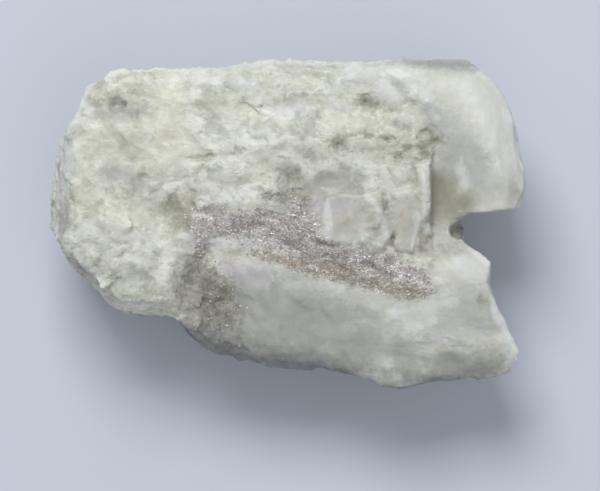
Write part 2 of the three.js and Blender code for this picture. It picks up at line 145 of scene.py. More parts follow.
def copy_of(piece: Piece, name: str) -> Piece:
    """Copies a piece with its mesh.

    Args:
        piece: what is copied.
        name: the copy's name.

    Returns:
        The copy, selected and active.
    """
    select_only(piece)
    bpy.ops.object.duplicate()
    copy = bpy.context.active_object
    copy.name = copy.data.name = name
    return copy


def put_on(piece: Piece, material: bpy.types.Material) -> None:
    """Dresses a piece in one material, and fixes it to the specimen's body.

    Args:
        piece: the piece.
        material: the only material that it then has.
    """
    piece.data.materials.clear()
    piece.data.materials.append(material)
    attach(piece, BODY)


def millimetres(add: Add, place: Any) -> Node:
    """Turns a place in metres into millimetres."""
    return add("ShaderNodeVectorMath", {0: place, 1: (PER_MM,) * 3}, operation="MULTIPLY")


def apply_modifiers(piece: Piece) -> None:
    """Applies every modifier of a piece, in their order.

    Args:
        piece: the object that carries them.
    """
    select_only(piece)
    for modifier in list(piece.modifiers):
        bpy.ops.object.modifier_apply(modifier=modifier.name)


def points_of(piece: Piece) -> np.ndarray:
    """Reads where a mesh's points are.

    Args:
        piece: the mesh object.

    Returns:
        The points in metres, one a row.
    """
    flat = np.zeros(len(piece.data.vertices) * 3)
    piece.data.vertices.foreach_get("co", flat)
    return flat.reshape(-1, 3)


def geometry_tree(name: str) -> bpy.types.NodeTree:
    """Makes an empty geometry tree with a geometry going in and one coming out.

    Args:
        name: the tree's name.

    Returns:
        The tree.
    """
    tree = bpy.data.node_groups.new(name, "GeometryNodeTree")
    for way in ("INPUT", "OUTPUT"):
        tree.interface.new_socket(name="Geometry", in_out=way, socket_type="NodeSocketGeometry")
    return tree


def new_material(name: str) -> tuple[bpy.types.Material, Add]:
    """Makes an empty material.

    Args:
        name: the material's name.

    Returns:
        The material, and a function that adds a node to it.
    """
    material = bpy.data.materials.new(name)
    material.use_nodes = True
    material.node_tree.nodes.clear()
    return material, partial(node, material.node_tree)


# ---- the mineral zones ----


class Zone(Enum):
    """What the stone is made of, how it broke, or where light or shade is painted, at a place. Each is an
    attribute of its points.
    """

    SEAM = "seam"  # fine tourmaline with mica, mauve grey
    SPUR = "spur"  # coarser, olive grey, west of the slab
    SPARKLE = "sparkle"  # dark, full of small faces: the spur's east side
    FRINGE = "fringe"  # iron-stained lower side of the seam
    QUARTZ = "quartz"  # clear to grey, waxy: the slab
    LAYERED = "layered"  # clear and milky plates by turns, drawn out along the slab
    GREY = "grey"  # clearer still, where the dark inside shows through; two strokes are painted shade, in a hollow of the south side and in the bite
    SMOKY = "smoky"  # painted shade, grey, on the steep south side and near its foot
    STEEL = "steel"  # painted shade, blue-grey, on the bevels under the south rim and on the bite's inner wall
    CREAM = "cream"  # dull cream patches of the coarse side
    CRYSTAL = "crystal"  # beige, on the crystals that stand above the seam
    SHADED = "shaded"  # olive dust and stain, and painted shade in the notches by the crystals and in the bite
    DUSTY = "dusty"  # painted shade in the corner below the plate wall, thin and even, and a small darker patch north of it
    LILAC = "lilac"  # clear plates with a lilac cast
    PIT = "pit"  # dark mineral in the plucked holes
    BRIGHT = "bright"  # fresh, snow-white bruises, and painted light on lit edges and on steps in shade
    RIM = "rim"  # painted glow on thin edges, where light fills them
    SMOOTH = "smooth"  # flat cleavage without grain
    CHIPPED = "chipped"  # sugary break, the roughest
    WORN = "worn"  # holes and steps rounded by handling
    KNOCKED = "knocked"  # corners knocked round


@dataclass(frozen=True)
class Stroke:
    """A run of a zone through the stone.

    Points are x, y, z and the radius there, in mm. Flat is how much a millimetre of height counts.
    """

    points: tuple[tuple[float, float, float, float], ...]
    flat: float

    def closeness(self, places: np.ndarray) -> np.ndarray:
        """Tells how near places are to the stroke.

        Args:
            places: points in mm, one a row.

        Returns:
            1 on the stroke's line, 0 at its edge and -1 at twice its radius or more.
        """
        scale = np.array([1, 1, self.flat])
        runs = self.points if len(self.points) > 1 else self.points * 2
        nearest = np.full(len(places), -1.0)
        for start, end in zip(runs, runs[1:]):
            a, b = np.array(start[:3]) * scale, np.array(end[:3]) * scale
            along = b - a
            t = ((places * scale - a) @ along) / max(along @ along, 1e-9)
            t = np.clip(t, 0, 1)[:, None]
            radius = start[3] + (end[3] - start[3]) * t[:, 0]
            distance = np.linalg.norm(places * scale - a - t * along, axis=1)
            nearest = np.maximum(nearest, 1 - distance / radius)
        return nearest


def run(*points: tuple[float, float, float, float], flat: float = 0.6) -> Stroke:
    """A stroke through points of x, y, z and radius, in mm."""
    return Stroke(points, flat)


ZONES: dict[Zone, tuple[Stroke, ...]] = {
    Zone.SEAM: (
        run((-16, 0.2, 31.5, 2.9), (-12.6, 0.5, 31.2, 2.9), (-9, -1, 31, 3.6), (-0.4, -2.4, 31, 4.8),
            (3, -4, 30.6, 4.4)),
        run((1, -3.2, 30.8, 4.6), (6.3, -4.8, 30.4, 4.6), (12, -7.6, 30.8, 3.8), (18.7, -9.2, 31.2, 3.7),
            (23.5, -11, 31.3, 3.3), (26.6, -13.6, 30.8, 1.6), flat=1.3),
        run((-16.8, -1.6, 31, 2.2), (-16.2, -4.8, 30.4, 1.7)),
        run((1.6, 1.8, 32.8, 2.2), (5, -0.8, 32.6, 2)),
    ),
    Zone.SPUR: (
        run((-17.6, -8.8, 30, 2.6), (-16.8, -12, 29, 4.2), (-16, -14.9, 28.5, 5.3),
            (-13.8, -18.7, 27.5, 5.6), (-11.6, -22, 25, 4)),
        run((-2.6, -24.4, 26, 0.8)),
    ),
    Zone.SPARKLE: (
        run((0.4, -0.6, 31.4, 2), (1.8, -4.2, 31, 2.2), (3.6, -6.2, 30.6, 1.6)),
        run((-5, 4.8, 32.6, 1.2), (-1, 4.2, 33, 1.8), (3.4, 3.2, 33, 1.5)),
        run((-15, -9.6, 29.5, 2.4), (-13.4, -13.2, 28.5, 3.4), (-12.4, -17.4, 27.5, 3.6),
            (-12.8, -21.4, 25, 3)),
    ),
    Zone.FRINGE: (
        run((-6.5, -5.8, 30, 0.7), (0.6, -7.9, 30, 1.5), (6.3, -9, 30, 1.9), (12, -10.6, 30, 1.9),
            (18.7, -12.2, 30, 1.6), (25.6, -14.4, 30, 1.6)),
    ),
    Zone.LAYERED: (
        run((-9, -11, 29, 6), (6.3, -18, 29, 10), (20, -22, 29, 8), (34, -20, 28, 6), flat=0.3),
    ),
    Zone.QUARTZ: (
        run((-5.1, -15, 28, 9), (6.3, -18.8, 28, 10), (17, -21.7, 28, 8)),
        run((21.5, 30.2, 34, 1.4), (36.4, 29.3, 34, 2.4), flat=0.3),
        run((26, -18, 28.5, 5), (35.5, -17.5, 28.5, 6), flat=0.3),
        run((27, 21, 35, 2.5), (34, 12, 33, 6), (39, 6, 31, 4)),
    ),
    Zone.GREY: (
        run((-5.6, -15.5, 28, 6), (2, -19, 28, 8.5), (12, -24, 28, 6)),
        run((-33, 9, 33, 2.6), (-28.6, 7.6, 33, 2.6)),
        run((-36, 20, 32, 1.8), (-28, 20, 33, 2.2)),
        run((-38, -8, 30, 2.8), (-28, -11.4, 30, 3.6)),
        run((-8, -13, 29, 3.4), (-4.6, -20.5, 27.5, 7.5)),
        run((-6, -19, 27.5, 4.5), (-1, -20.5, 27.5, 4.5)),
        run((23, 29.8, 34, 1), (35.5, 29, 34, 1.3), flat=0.3),
        run((-42.6, 0.6, 29, 2), (-41.6, -2.6, 29, 1.8)),
        run((-2, -24, 27, 3), (10, -27, 27, 3)),
        run((6.5, -17.4, 29, 1.7), (13.6, -18.2, 29, 1.8)),
        run((5.4, 6.6, 33.5, 2.6), (11.6, 6.9, 34, 3.2)),
        run((20.6, 18.4, 34.5, 0.9), (22.8, 17.6, 34.5, 0.9)),
        run((-24.4, 8, 33, 1.8)),
        run((-25, 19.4, 33, 2)),
        run((-42, 4, 14, 5), (-36, -8, 12, 5)),
        run((24, 27, 12, 6), (38, 12, 10, 5)),
        run((0.4, 8.6, 33.5, 2.6), (3.2, 3.8, 33, 2.6)),
        # Painted shade in the hollow between the south lobes, and then in the bite.
        run((29.6, -28, 26, 4.2), (38, -27.4, 26, 3.6), flat=0.1),
        run((33.4, -4.4, 31, 3.4), flat=0.3),
        run((21.5, -25, 27, 2.4), (24, -28.5, 26, 2.6), flat=0.3),
    ),
    # Painted shade over the south wall and near its foot, which face away from the window lamp.
    Zone.SMOKY: (
        run((-26, -17, 14, 6), (-14, -22, 13, 8.5), (4, -26, 12, 9), (20, -28, 13, 9), (34, -28, 17, 6),
            flat=0.7),
        run((-10, -17, 4, 6), (10, -19, 3, 8), (26, -20, 7, 6), flat=0.7),
    ),
    # Painted shade on the bevels under the south and south-west rim, and on the bite's inner wall, which
    # face away from the window lamp.
    Zone.STEEL: (
        run((33.8, -1.4, 29, 1.5), flat=0.3),
        run((-20.4, -18.8, 23, 2.4), (-16.6, -21.8, 22.5, 3.2), (-11.8, -24, 22.5, 3.2),
            (-5, -26, 22.5, 2.4), flat=0.45),
        run((-4, -27.4, 22.5, 2.4), (2.3, -27.8, 22.5, 3), (10, -29, 22.5, 3), (22, -31, 22.5, 3),
            (32, -30.2, 22.5, 2), flat=0.45),
    ),
    Zone.CREAM: (
        run((-26, 28, 20, 5), (-6, 27, 12, 6), (12, 29, 22, 4)),
        run((10, -20, 8, 6), (-14, -16, 8, 5)),
        run((-38, 3, 32, 2.6), (-30.5, -0.6, 32, 3.4)),
        run((-36, 16, 32, 4), (-24, 13, 33, 4), (-22, 25, 33, 3.4)),
        run((-40, 8, 31, 3), (-36, 14, 32, 3)),
        run((-6.5, 20.6, 34, 2.6), (-1.5, 19.5, 34, 2.4)),
        run((10, 19.4, 34, 2.2), (14.5, 19, 34, 1.8)),
        run((-24, -14.5, 30, 2), (-20.6, -13.6, 30, 1.6)),
    ),
    Zone.CRYSTAL: (
        run((10.4, 0.4, 35.5, 5.4)),
        run((17.4, -0.4, 35.5, 3.6)),
        run((22.9, -0.6, 36, 5.2)),
        run((27.2, -3.5, 32, 3.4), (31.5, -4.5, 30, 3)),
    ),
    Zone.SHADED: (
        run((22.8, 13.6, 35, 1)),
        run((26.2, 12.4, 35, 1.2)),
        run((25.2, 13.8, 35, 0.9), (26.6, 14.6, 35, 0.9)),
        # Painted shade in the notch east of the last crystal, then in the bite.
        run((27, -1, 33, 1), (25.4, -5.4, 32, 0.9), flat=0.3),
        run((33.6, -1.8, 30, 1.5), flat=0.4),
        run((18.3, 3.2, 35, 0.8), (18.6, 2.2, 35, 0.7)),
        # Painted shade in the notch between two crystals, then again in the notch east of the last.
        run((20.3, -2.6, 33, 0.7), (20, -4.6, 32, 0.8), flat=0.3),
        run((25.8, -1.8, 33, 0.6), (25.4, -5.2, 32, 0.9), flat=0.3),
        run((15, 15.8, 34, 0.9), (18.6, 15.2, 34, 0.9)),
        run((-35.8, 22.4, 31.6, 1.3), (-32.4, 23.4, 31.6, 1.6)),
        run((-31.2, 21.9, 31.6, 1.2)),
        run((2, 9.4, 34, 0.9)),
        run((36.8, -15, 29.5, 1.5)),
        run((-2, 9.6, 33.5, 0.6), (0.6, 8.2, 33.5, 0.9), (2.4, 7.2, 33.5, 0.7)),
        run((14, 22.6, 33, 1.6), (16.6, 22, 33, 1.7)),
        run((9.7, 14.3, 34, 1.9)),
        run((-21, 2.6, 33, 2.9), (-19.6, 1, 32.8, 3.5), (-18.4, 3, 33, 2.6), (-18.4, 0, 32.6, 2.9)),
        run((-43.7, 8.8, 27, 0.6), (-43.6, 11.2, 27, 0.6)),
        run((0, 22, 3, 3.5)),
        run((-30, 20, 6, 2.6), (-36, 10, 8, 2.6)),
        run((-35.7, -8.1, 33, 1.3)),
    ),
    # Painted shade in the corner where the plate wall meets the bowl; the last stroke darkens a small patch
    # north of it.
    Zone.DUSTY: (
        run((28.7, 7.4, 31.4, 2.2), (29.2, 4.8, 31.3, 3.4), (30.2, 2, 31.4, 3.8), (33.4, 3.2, 32.4, 2.6),
            flat=0.3),
        run((28, 15.4, 34.5, 1.3), flat=0.3),
    ),
    Zone.LILAC: (
        run((-10.4, -8.8, 29.3, 2.4), (-5.4, -10.4, 29.3, 2.6)),
        run((5.6, 2.6, 34.6, 1.8), (10.4, 2.2, 35.4, 1.8)),
    ),
    Zone.PIT: (
        run((-35.2, 22.4, 31.6, 0.6), (-33.4, 23.7, 31.6, 0.7), (-31, 24.2, 31.6, 0.8)),
        run((-30.4, 23.6, 31.6, 0.8), (-30.7, 22.6, 31.6, 1)),
        run((14.6, 22.4, 32.6, 0.8), (16.2, 22.1, 32.6, 0.9)),
    ),
    Zone.BRIGHT: (
        run((33.4, -8.4, 31, 3.2), (37, -11, 31, 2.2)),
        run((23.8, -18.5, 29.5, 3.2), (27, -16, 29.5, 2.6)),
        run((29, -10.2, 31, 1.8)),
        run((30.6, -14.4, 30, 2.2)),
        run((-16, 1.2, 32.4, 1.4), (-11.5, 0.4, 32.4, 1.6)),
        # Painted light in the shaded valley at the seam's west end.
        run((-19.6, -3.2, 31.6, 1.5), (-16.4, -3.8, 31, 1.4)),
        run((17.6, 27, 34, 2.6), (19.6, 23.6, 34, 2)),
        # Painted light on the upper west wall, over its shade.
        run((-42.4, 7, 30, 2), (-41.2, 12.6, 31, 2.4)),
        run((-32.4, -1.6, 32, 2), (-28.6, -2.4, 32, 1.7)),
        run((-19, 27.8, 32, 1.6), (-12, 27.4, 33, 1.8), (-6, 24.6, 33.6, 1.8)),
        run((24.8, 0.4, 35, 1.2), (26.6, -1.6, 33, 1.2)),
        run((1.4, 21.8, 34, 2), (3.6, 20.4, 34, 1.6)),
        run((8.6, 21.6, 34, 1.7), (11, 21, 34, 1.6)),
        run((9.7, 25.7, 34, 1.9)),
        run((2, 12.4, 34, 1.8)),
        run((-13.4, 26, 33, 2)),
        # Painted highlights on the lit edges of the crystals, in these three strokes.
        run((7.4, 3, 35, 0.8), (7.8, -1, 35, 1.1), (7.6, -3.6, 34, 0.9)),
        run((16.4, 2.8, 35.4, 0.6), (18.2, -0.4, 35.2, 0.6), (19, -3.8, 34.2, 0.8)),
        run((24.8, -1.5, 35, 0.6), (24, -5, 33.5, 0.8)),
        run((-14.2, -4.2, 31, 1.5), (-6.5, -4.2, 31, 1.5)),
        run((-16, 3.6, 33.5, 1.4), (-9.8, 4.2, 33.5, 2.2), (-7, 5.4, 33.5, 1.8)),
        run((-4, 20.6, 34, 1.8), (0.5, 19.5, 34, 1.6)),
        run((12, 28.2, 34, 2.4), (22, 27.4, 34, 2.8), (26, 24, 34, 2.2)),
        # Painted light brightening the block towards its east rim.
        run((35, 25, 34, 4), (39.5, 18, 33, 4.2), (42, 10, 33, 2.8)),
        run((20.2, -4.5, 36, 0.9), (15.2, 4.6, 36, 0.9)),
        # Painted highlight on the plate's lit edge.
        run((26.4, 9, 36.5, 1), (26.2, -0.5, 36.5, 1)),
        run((33, 11, 32, 1.2), (33.6, 7, 32, 1.4)),
        run((41, -22, 28, 1.4), (43.4, -26, 27, 1.6)),
        run((20.6, -17.4, 29.5, 1.6), (23.6, -18.4, 29.5, 2.2), (27, -18.2, 29.5, 1.8)),
    ),
    # Painted glow along the thin west, north and east edges.
    Zone.RIM: (
        run((-43.9, -3.4, 27, 0.6), (-44.6, 0, 27, 0.9), (-43.8, 14.8, 28, 1.1), (-40.5, 18.8, 31, 0.8),
            (-39, 23.2, 31, 0.8), (-36.4, 27.6, 31, 0.9), (-26.1, 29.5, 32, 0.9), (-11.3, 29.1, 32, 0.9),
            (-2.9, 30.4, 33, 1), (8.4, 30, 33, 1.1), (21.2, 30.8, 33, 1), flat=0.25),
        run((36.6, 28, 31, 1.2), (39.6, 25.8, 31, 1.2), (42, 21.4, 31, 1.8), (43.3, 17, 31, 1.8),
            (43.8, 11.6, 31, 1.2), (45, 6.8, 31, 1.3), flat=0.25),
        run((34.9, -5.4, 31, 1), (38.2, -8.2, 31, 1.2), (39.3, -11.8, 30, 1.2), (39.7, -17.4, 29, 1.2),
            (42.2, -21, 28, 1.2), (44.1, -25.8, 27, 1.5), flat=0.25),
    ),
    Zone.SMOOTH: (
        run((30.1, 27.6, 35, 5.3), (38.4, 20.9, 35, 8.6), (37.9, 11.5, 33, 9.6), (38.8, 5, 31, 6.7),
            flat=0.4),
        run((10.5, 0.1, 35.5, 5)),
        run((23.1, -0.3, 36, 4.2)),
        run((28.9, 9, 33, 2.6), (29.4, 2, 30, 3.4)),
        run((-3, -15, 29, 7.4), (6.3, -19, 29, 8.6), (21.5, -21.5, 29, 8.8), (34.9, -20, 29, 8.8),
            flat=0.4),
        run((33.6, -8.4, 31, 5.4)),
        run((5, 7, 33.5, 2), (10, 7.3, 34, 2.2)),
    ),
    Zone.CHIPPED: (
        run((-16.6, 4.6, 33, 2), (-8, 5.6, 33, 3.2), (1.5, 6.4, 33, 2.4)),
        run((14, 22, 34, 4.5), (20, 15, 35, 5), (27, 14.4, 35, 3.6)),
        run((-7, 21, 34, 2.6), (-1, 19.5, 34, 2.6)),
        run((-42, -6.5, 26, 3), (-33, -14, 26, 3.6), (-22, -17.5, 26, 3), flat=0.1),
        run((26.5, 10, 36, 2.5), (26.2, -3.6, 35, 2.2), flat=0.3),
        run((18.6, 3, 35, 3)),
        run((-17.4, -6.8, 30.5, 3), (-14, -18.7, 28, 5)),
    ),
    Zone.WORN: (
        run((-30.7, -1.4, 33, 1.7), flat=0.3),
        run((-34.9, -7.7, 31, 1.7), flat=0.3),
        run((-33, 22.4, 31.6, 4)),
        run((14.9, 22.4, 32.6, 3.2)),
        run((9.7, 14.3, 34, 2.8)),
        run((0.2, 9.2, 33.5, 3)),
        run((-36, 15.6, 32, 2.6), (-27, 11.2, 33, 2.6)),
        run((33.4, 9, 32, 3)),
        run((34, -7.6, 31, 4)),
        run((33.2, 7.8, 31, 4.4), flat=0.3),
        run((-20.8, -8, 30, 2.6), (-21.2, -14, 29, 2.4), flat=0.4),
        run((27.2, 9, 36, 1.4), (27.2, 0, 36, 1.4), flat=0.3),
        run((32.6, -1, 30, 3), flat=0.3),
        run((-38.6, 26.6, 31, 3), flat=0.3),
        run((-17.4, -3.4, 31, 3.4), flat=0.4),
    ),
    Zone.KNOCKED: (
        run((43, -29, 24, 4.6), flat=0.1),
    ),
}


# ---- finishes ----


@dataclass(frozen=True)
class Mottle:
    """Patches of another colour all over the stone.

    Width is the patches' size in mm, start and full are the noise levels between which they set
    in, and amount is how much of their colour they hold. Long patches are drawn out along X.
    """

    width: float
    colour: str
    start: float
    full: float
    amount: float
    long: float = 1.0


@dataclass(frozen=True)
class Stain:
    """The colour of a zone, with a ragged edge: the stone's own colour, or painted light or shade.

    Ragged is how far noise moves the edge, as a share of the zone's radius, width is the size of
    those bays in mm, and soft is how gradual the edge is. Flecks are patches within the zone.
    """

    zone: Zone
    colour: str
    amount: float
    ragged: float = 1.2
    width: float = 1.6
    soft: float = 0.35
    flecks: tuple[Mottle, ...] = ()


SEAM_STAIN = Stain(
    Zone.SEAM, "c2bab4", 0.88, 2.0, 1.7, 0.8,
    (
        Mottle(2.6, "958c86", 0.52, 0.62, 0.55, 1.8),
        Mottle(2.2, "9a998c", 0.52, 0.60, 0.65, 1.8),
        Mottle(1.2, "eceae7", 0.54, 0.61, 0.85, 3.0),
        Mottle(0.5, "8a827b", 0.56, 0.63, 0.6, 2.2),
    ),
)
SPUR_STAIN = Stain(
    Zone.SPUR, "949286", 0.85, 2.4, 2.2, 1.0,
    (Mottle(2.8, "7e7c70", 0.48, 0.60, 0.6, 1.3), Mottle(1.6, "b6b3a9", 0.55, 0.64, 0.5, 1.8)),
)
SPARKLE_STAIN = Stain(
    Zone.SPARKLE, "7f7d70", 0.7, 2.6, 1.8, 1.0,
    (
        Mottle(2.4, "625e56", 0.50, 0.60, 0.8, 1.3),
        Mottle(1.3, "aea99f", 0.54, 0.64, 0.7, 1.6),
        Mottle(0.5, "55514a", 0.58, 0.66, 0.5, 1.5),
    ),
)
FRINGE_STAIN = Stain(
    Zone.FRINGE, "a29b8b", 0.8, 2.4, 1.4, 1.0,
    (
        Mottle(1.4, "8f8c78", 0.48, 0.58, 0.75, 3.0),
        Mottle(1.0, "967462", 0.56, 0.62, 0.55, 3.0),
        Mottle(0.6, "e8e3da", 0.54, 0.61, 0.8, 3.0),
        Mottle(0.4, "6f6252", 0.56, 0.63, 0.8, 2.0),
    ),
)
# Snow-white bruises, and painted light on lit edges and on steps in shade.
BRUISES_AND_PAINTED_LIGHT = Stain(Zone.BRIGHT, "dfe0db", 0.6, 1.8, 1.4, 1.1)
# Painted shade, grey, on the south side.
SOUTH_SHADE_PAINT = Stain(
    Zone.SMOKY, "8b8d8a", 0.62, 2.4, 4.5, 1.4,
    (Mottle(4.0, "a4a49c", 0.50, 0.64, 0.5, 1.6), Mottle(1.5, "6f7270", 0.55, 0.66, 0.4, 2.0)),
)
# Painted shade, blue-grey, on the bevels that face away from the window lamp.
BEVEL_SHADE_PAINT = Stain(
    Zone.STEEL, "6f7276", 0.76, 1.8, 2.8, 1.2,
    (Mottle(2.4, "93959a", 0.52, 0.64, 0.5, 2.0), Mottle(0.9, "5d6064", 0.56, 0.66, 0.5, 2.0)),
)
CRYSTAL_STAIN = Stain(
    Zone.CRYSTAL, "b5b4a8", 0.75, 1.2, 1.8, 0.8,
    (
        Mottle(3.2, "c6bbb2", 0.50, 0.62, 0.55, 1.0),
        Mottle(2.4, "a3a596", 0.52, 0.62, 0.5, 0.7),
        Mottle(1.2, "d3d2c9", 0.56, 0.66, 0.5, 0.6),
    ),
)
# These three change the break, so only their edges are used.
SMOOTH_EDGE = Stain(Zone.SMOOTH, "ffffff", 1.0, 0.7, 2.0, 0.7)
CHIPPED_EDGE = Stain(Zone.CHIPPED, "ffffff", 1.0, 1.6, 3.0, 0.8)
LAYERED_EDGE = Stain(Zone.LAYERED, "ffffff", 1.0, 1.0, 3.0, 0.8)


EDGE_AT = 0.15  # how near a place is to a stroke where the zone's edge lies, before it is moved
BAY_NOISE = {"Detail": 4.0, "Roughness": 0.72}  # the bays along that edge
PATCH_NOISE = {"Detail": 3.0, "Roughness": 0.6}  # the outline of a mottle's patches


def ragged_zone(add: Add, in_mm: Node, near: Socket, stain: Stain) -> Node:
    """Finds how much of a zone there is at a place, with a ragged edge.

    Args:
        add: adds a node to the tree.
        in_mm: the place in mm.
        near: how near the place is to the zone's strokes.
        stain: the zone and its edge.

    Returns:
        A node that gives 0 outside, up to the stain's amount inside.
    """
    bays = add("ShaderNodeTexNoise", {"Vector": in_mm, "Scale": 1 / stain.width, **BAY_NOISE})
    moved = add(
        "ShaderNodeMath", {0: bays, 1: stain.ragged, 2: -stain.ragged / 2}, operation="MULTIPLY_ADD"
    )
    level = add("ShaderNodeMath", {0: near, 1: moved}, operation="ADD")
    return add(
        "ShaderNodeMapRange",
        {"Value": level, "From Min": EDGE_AT - stain.soft / 2, "From Max": EDGE_AT + stain.soft / 2,
         "To Max": stain.amount},
        interpolation_type="SMOOTHSTEP",
    )


STEP_SHARE = 0.35  # how much of a facet's tilt goes into its step up or down


def tilted_facets(add: Add, in_mm: Node, width: float) -> Node:
    """Breaks space into cells, each a flat face with a tilt and a height of its own.

    Args:
        add: adds a node to the tree.
        in_mm: the place in mm.
        width: the cells' size in mm.

    Returns:
        A node that gives the height, about -0.5 to 0.5.
    """
    cells = add("ShaderNodeTexVoronoi", {"Vector": in_mm, "Scale": 1 / width})
    from_middle = add(
        "ShaderNodeVectorMath", {0: in_mm, 1: cells.outputs["Position"]}, operation="SUBTRACT"
    )
    lean = add("ShaderNodeVectorMath", {0: cells.outputs["Color"], 1: (0.5,) * 3}, operation="SUBTRACT")
    tilt = add("ShaderNodeVectorMath", {0: from_middle, 1: lean}, operation="DOT_PRODUCT")
    lifted = add("ShaderNodeSeparateXYZ", {0: lean})
    step = add("ShaderNodeMath", {0: lifted.outputs["X"], 1: STEP_SHARE}, operation="MULTIPLY")
    return add(
        "ShaderNodeMath", {0: tilt.outputs["Value"], 1: 1 / width, 2: step}, operation="MULTIPLY_ADD"
    )


def blades(add: Add, in_mm: Node, bundle: float, thick: float) -> Node:
    """Fills space with bundles of parallel albite plates, each bundle turned its own way.

    Args:
        add: adds a node to the tree.
        in_mm: the place in mm.
        bundle: the bundles' size in mm.
        thick: a plate's thickness in mm.

    Returns:
        A node that gives each plate a number from 0 to 1.
    """
    cells = add("ShaderNodeTexVoronoi", {"Vector": in_mm, "Scale": 1 / bundle})
    lean = add("ShaderNodeVectorMath", {0: cells.outputs["Color"], 1: (0.5,) * 3}, operation="SUBTRACT")
    across = add("ShaderNodeVectorMath", {0: lean}, operation="NORMALIZE")
    along = add("ShaderNodeVectorMath", {0: in_mm, 1: across}, operation="DOT_PRODUCT")
    count = add("ShaderNodeMath", {0: along.outputs["Value"], 1: 1 / thick}, operation="MULTIPLY")
    plates = add("ShaderNodeTexVoronoi", {"W": count, "Scale": 1.0}, voronoi_dimensions="1D")
    return add("ShaderNodeSeparateXYZ", {0: plates.outputs["Color"]})


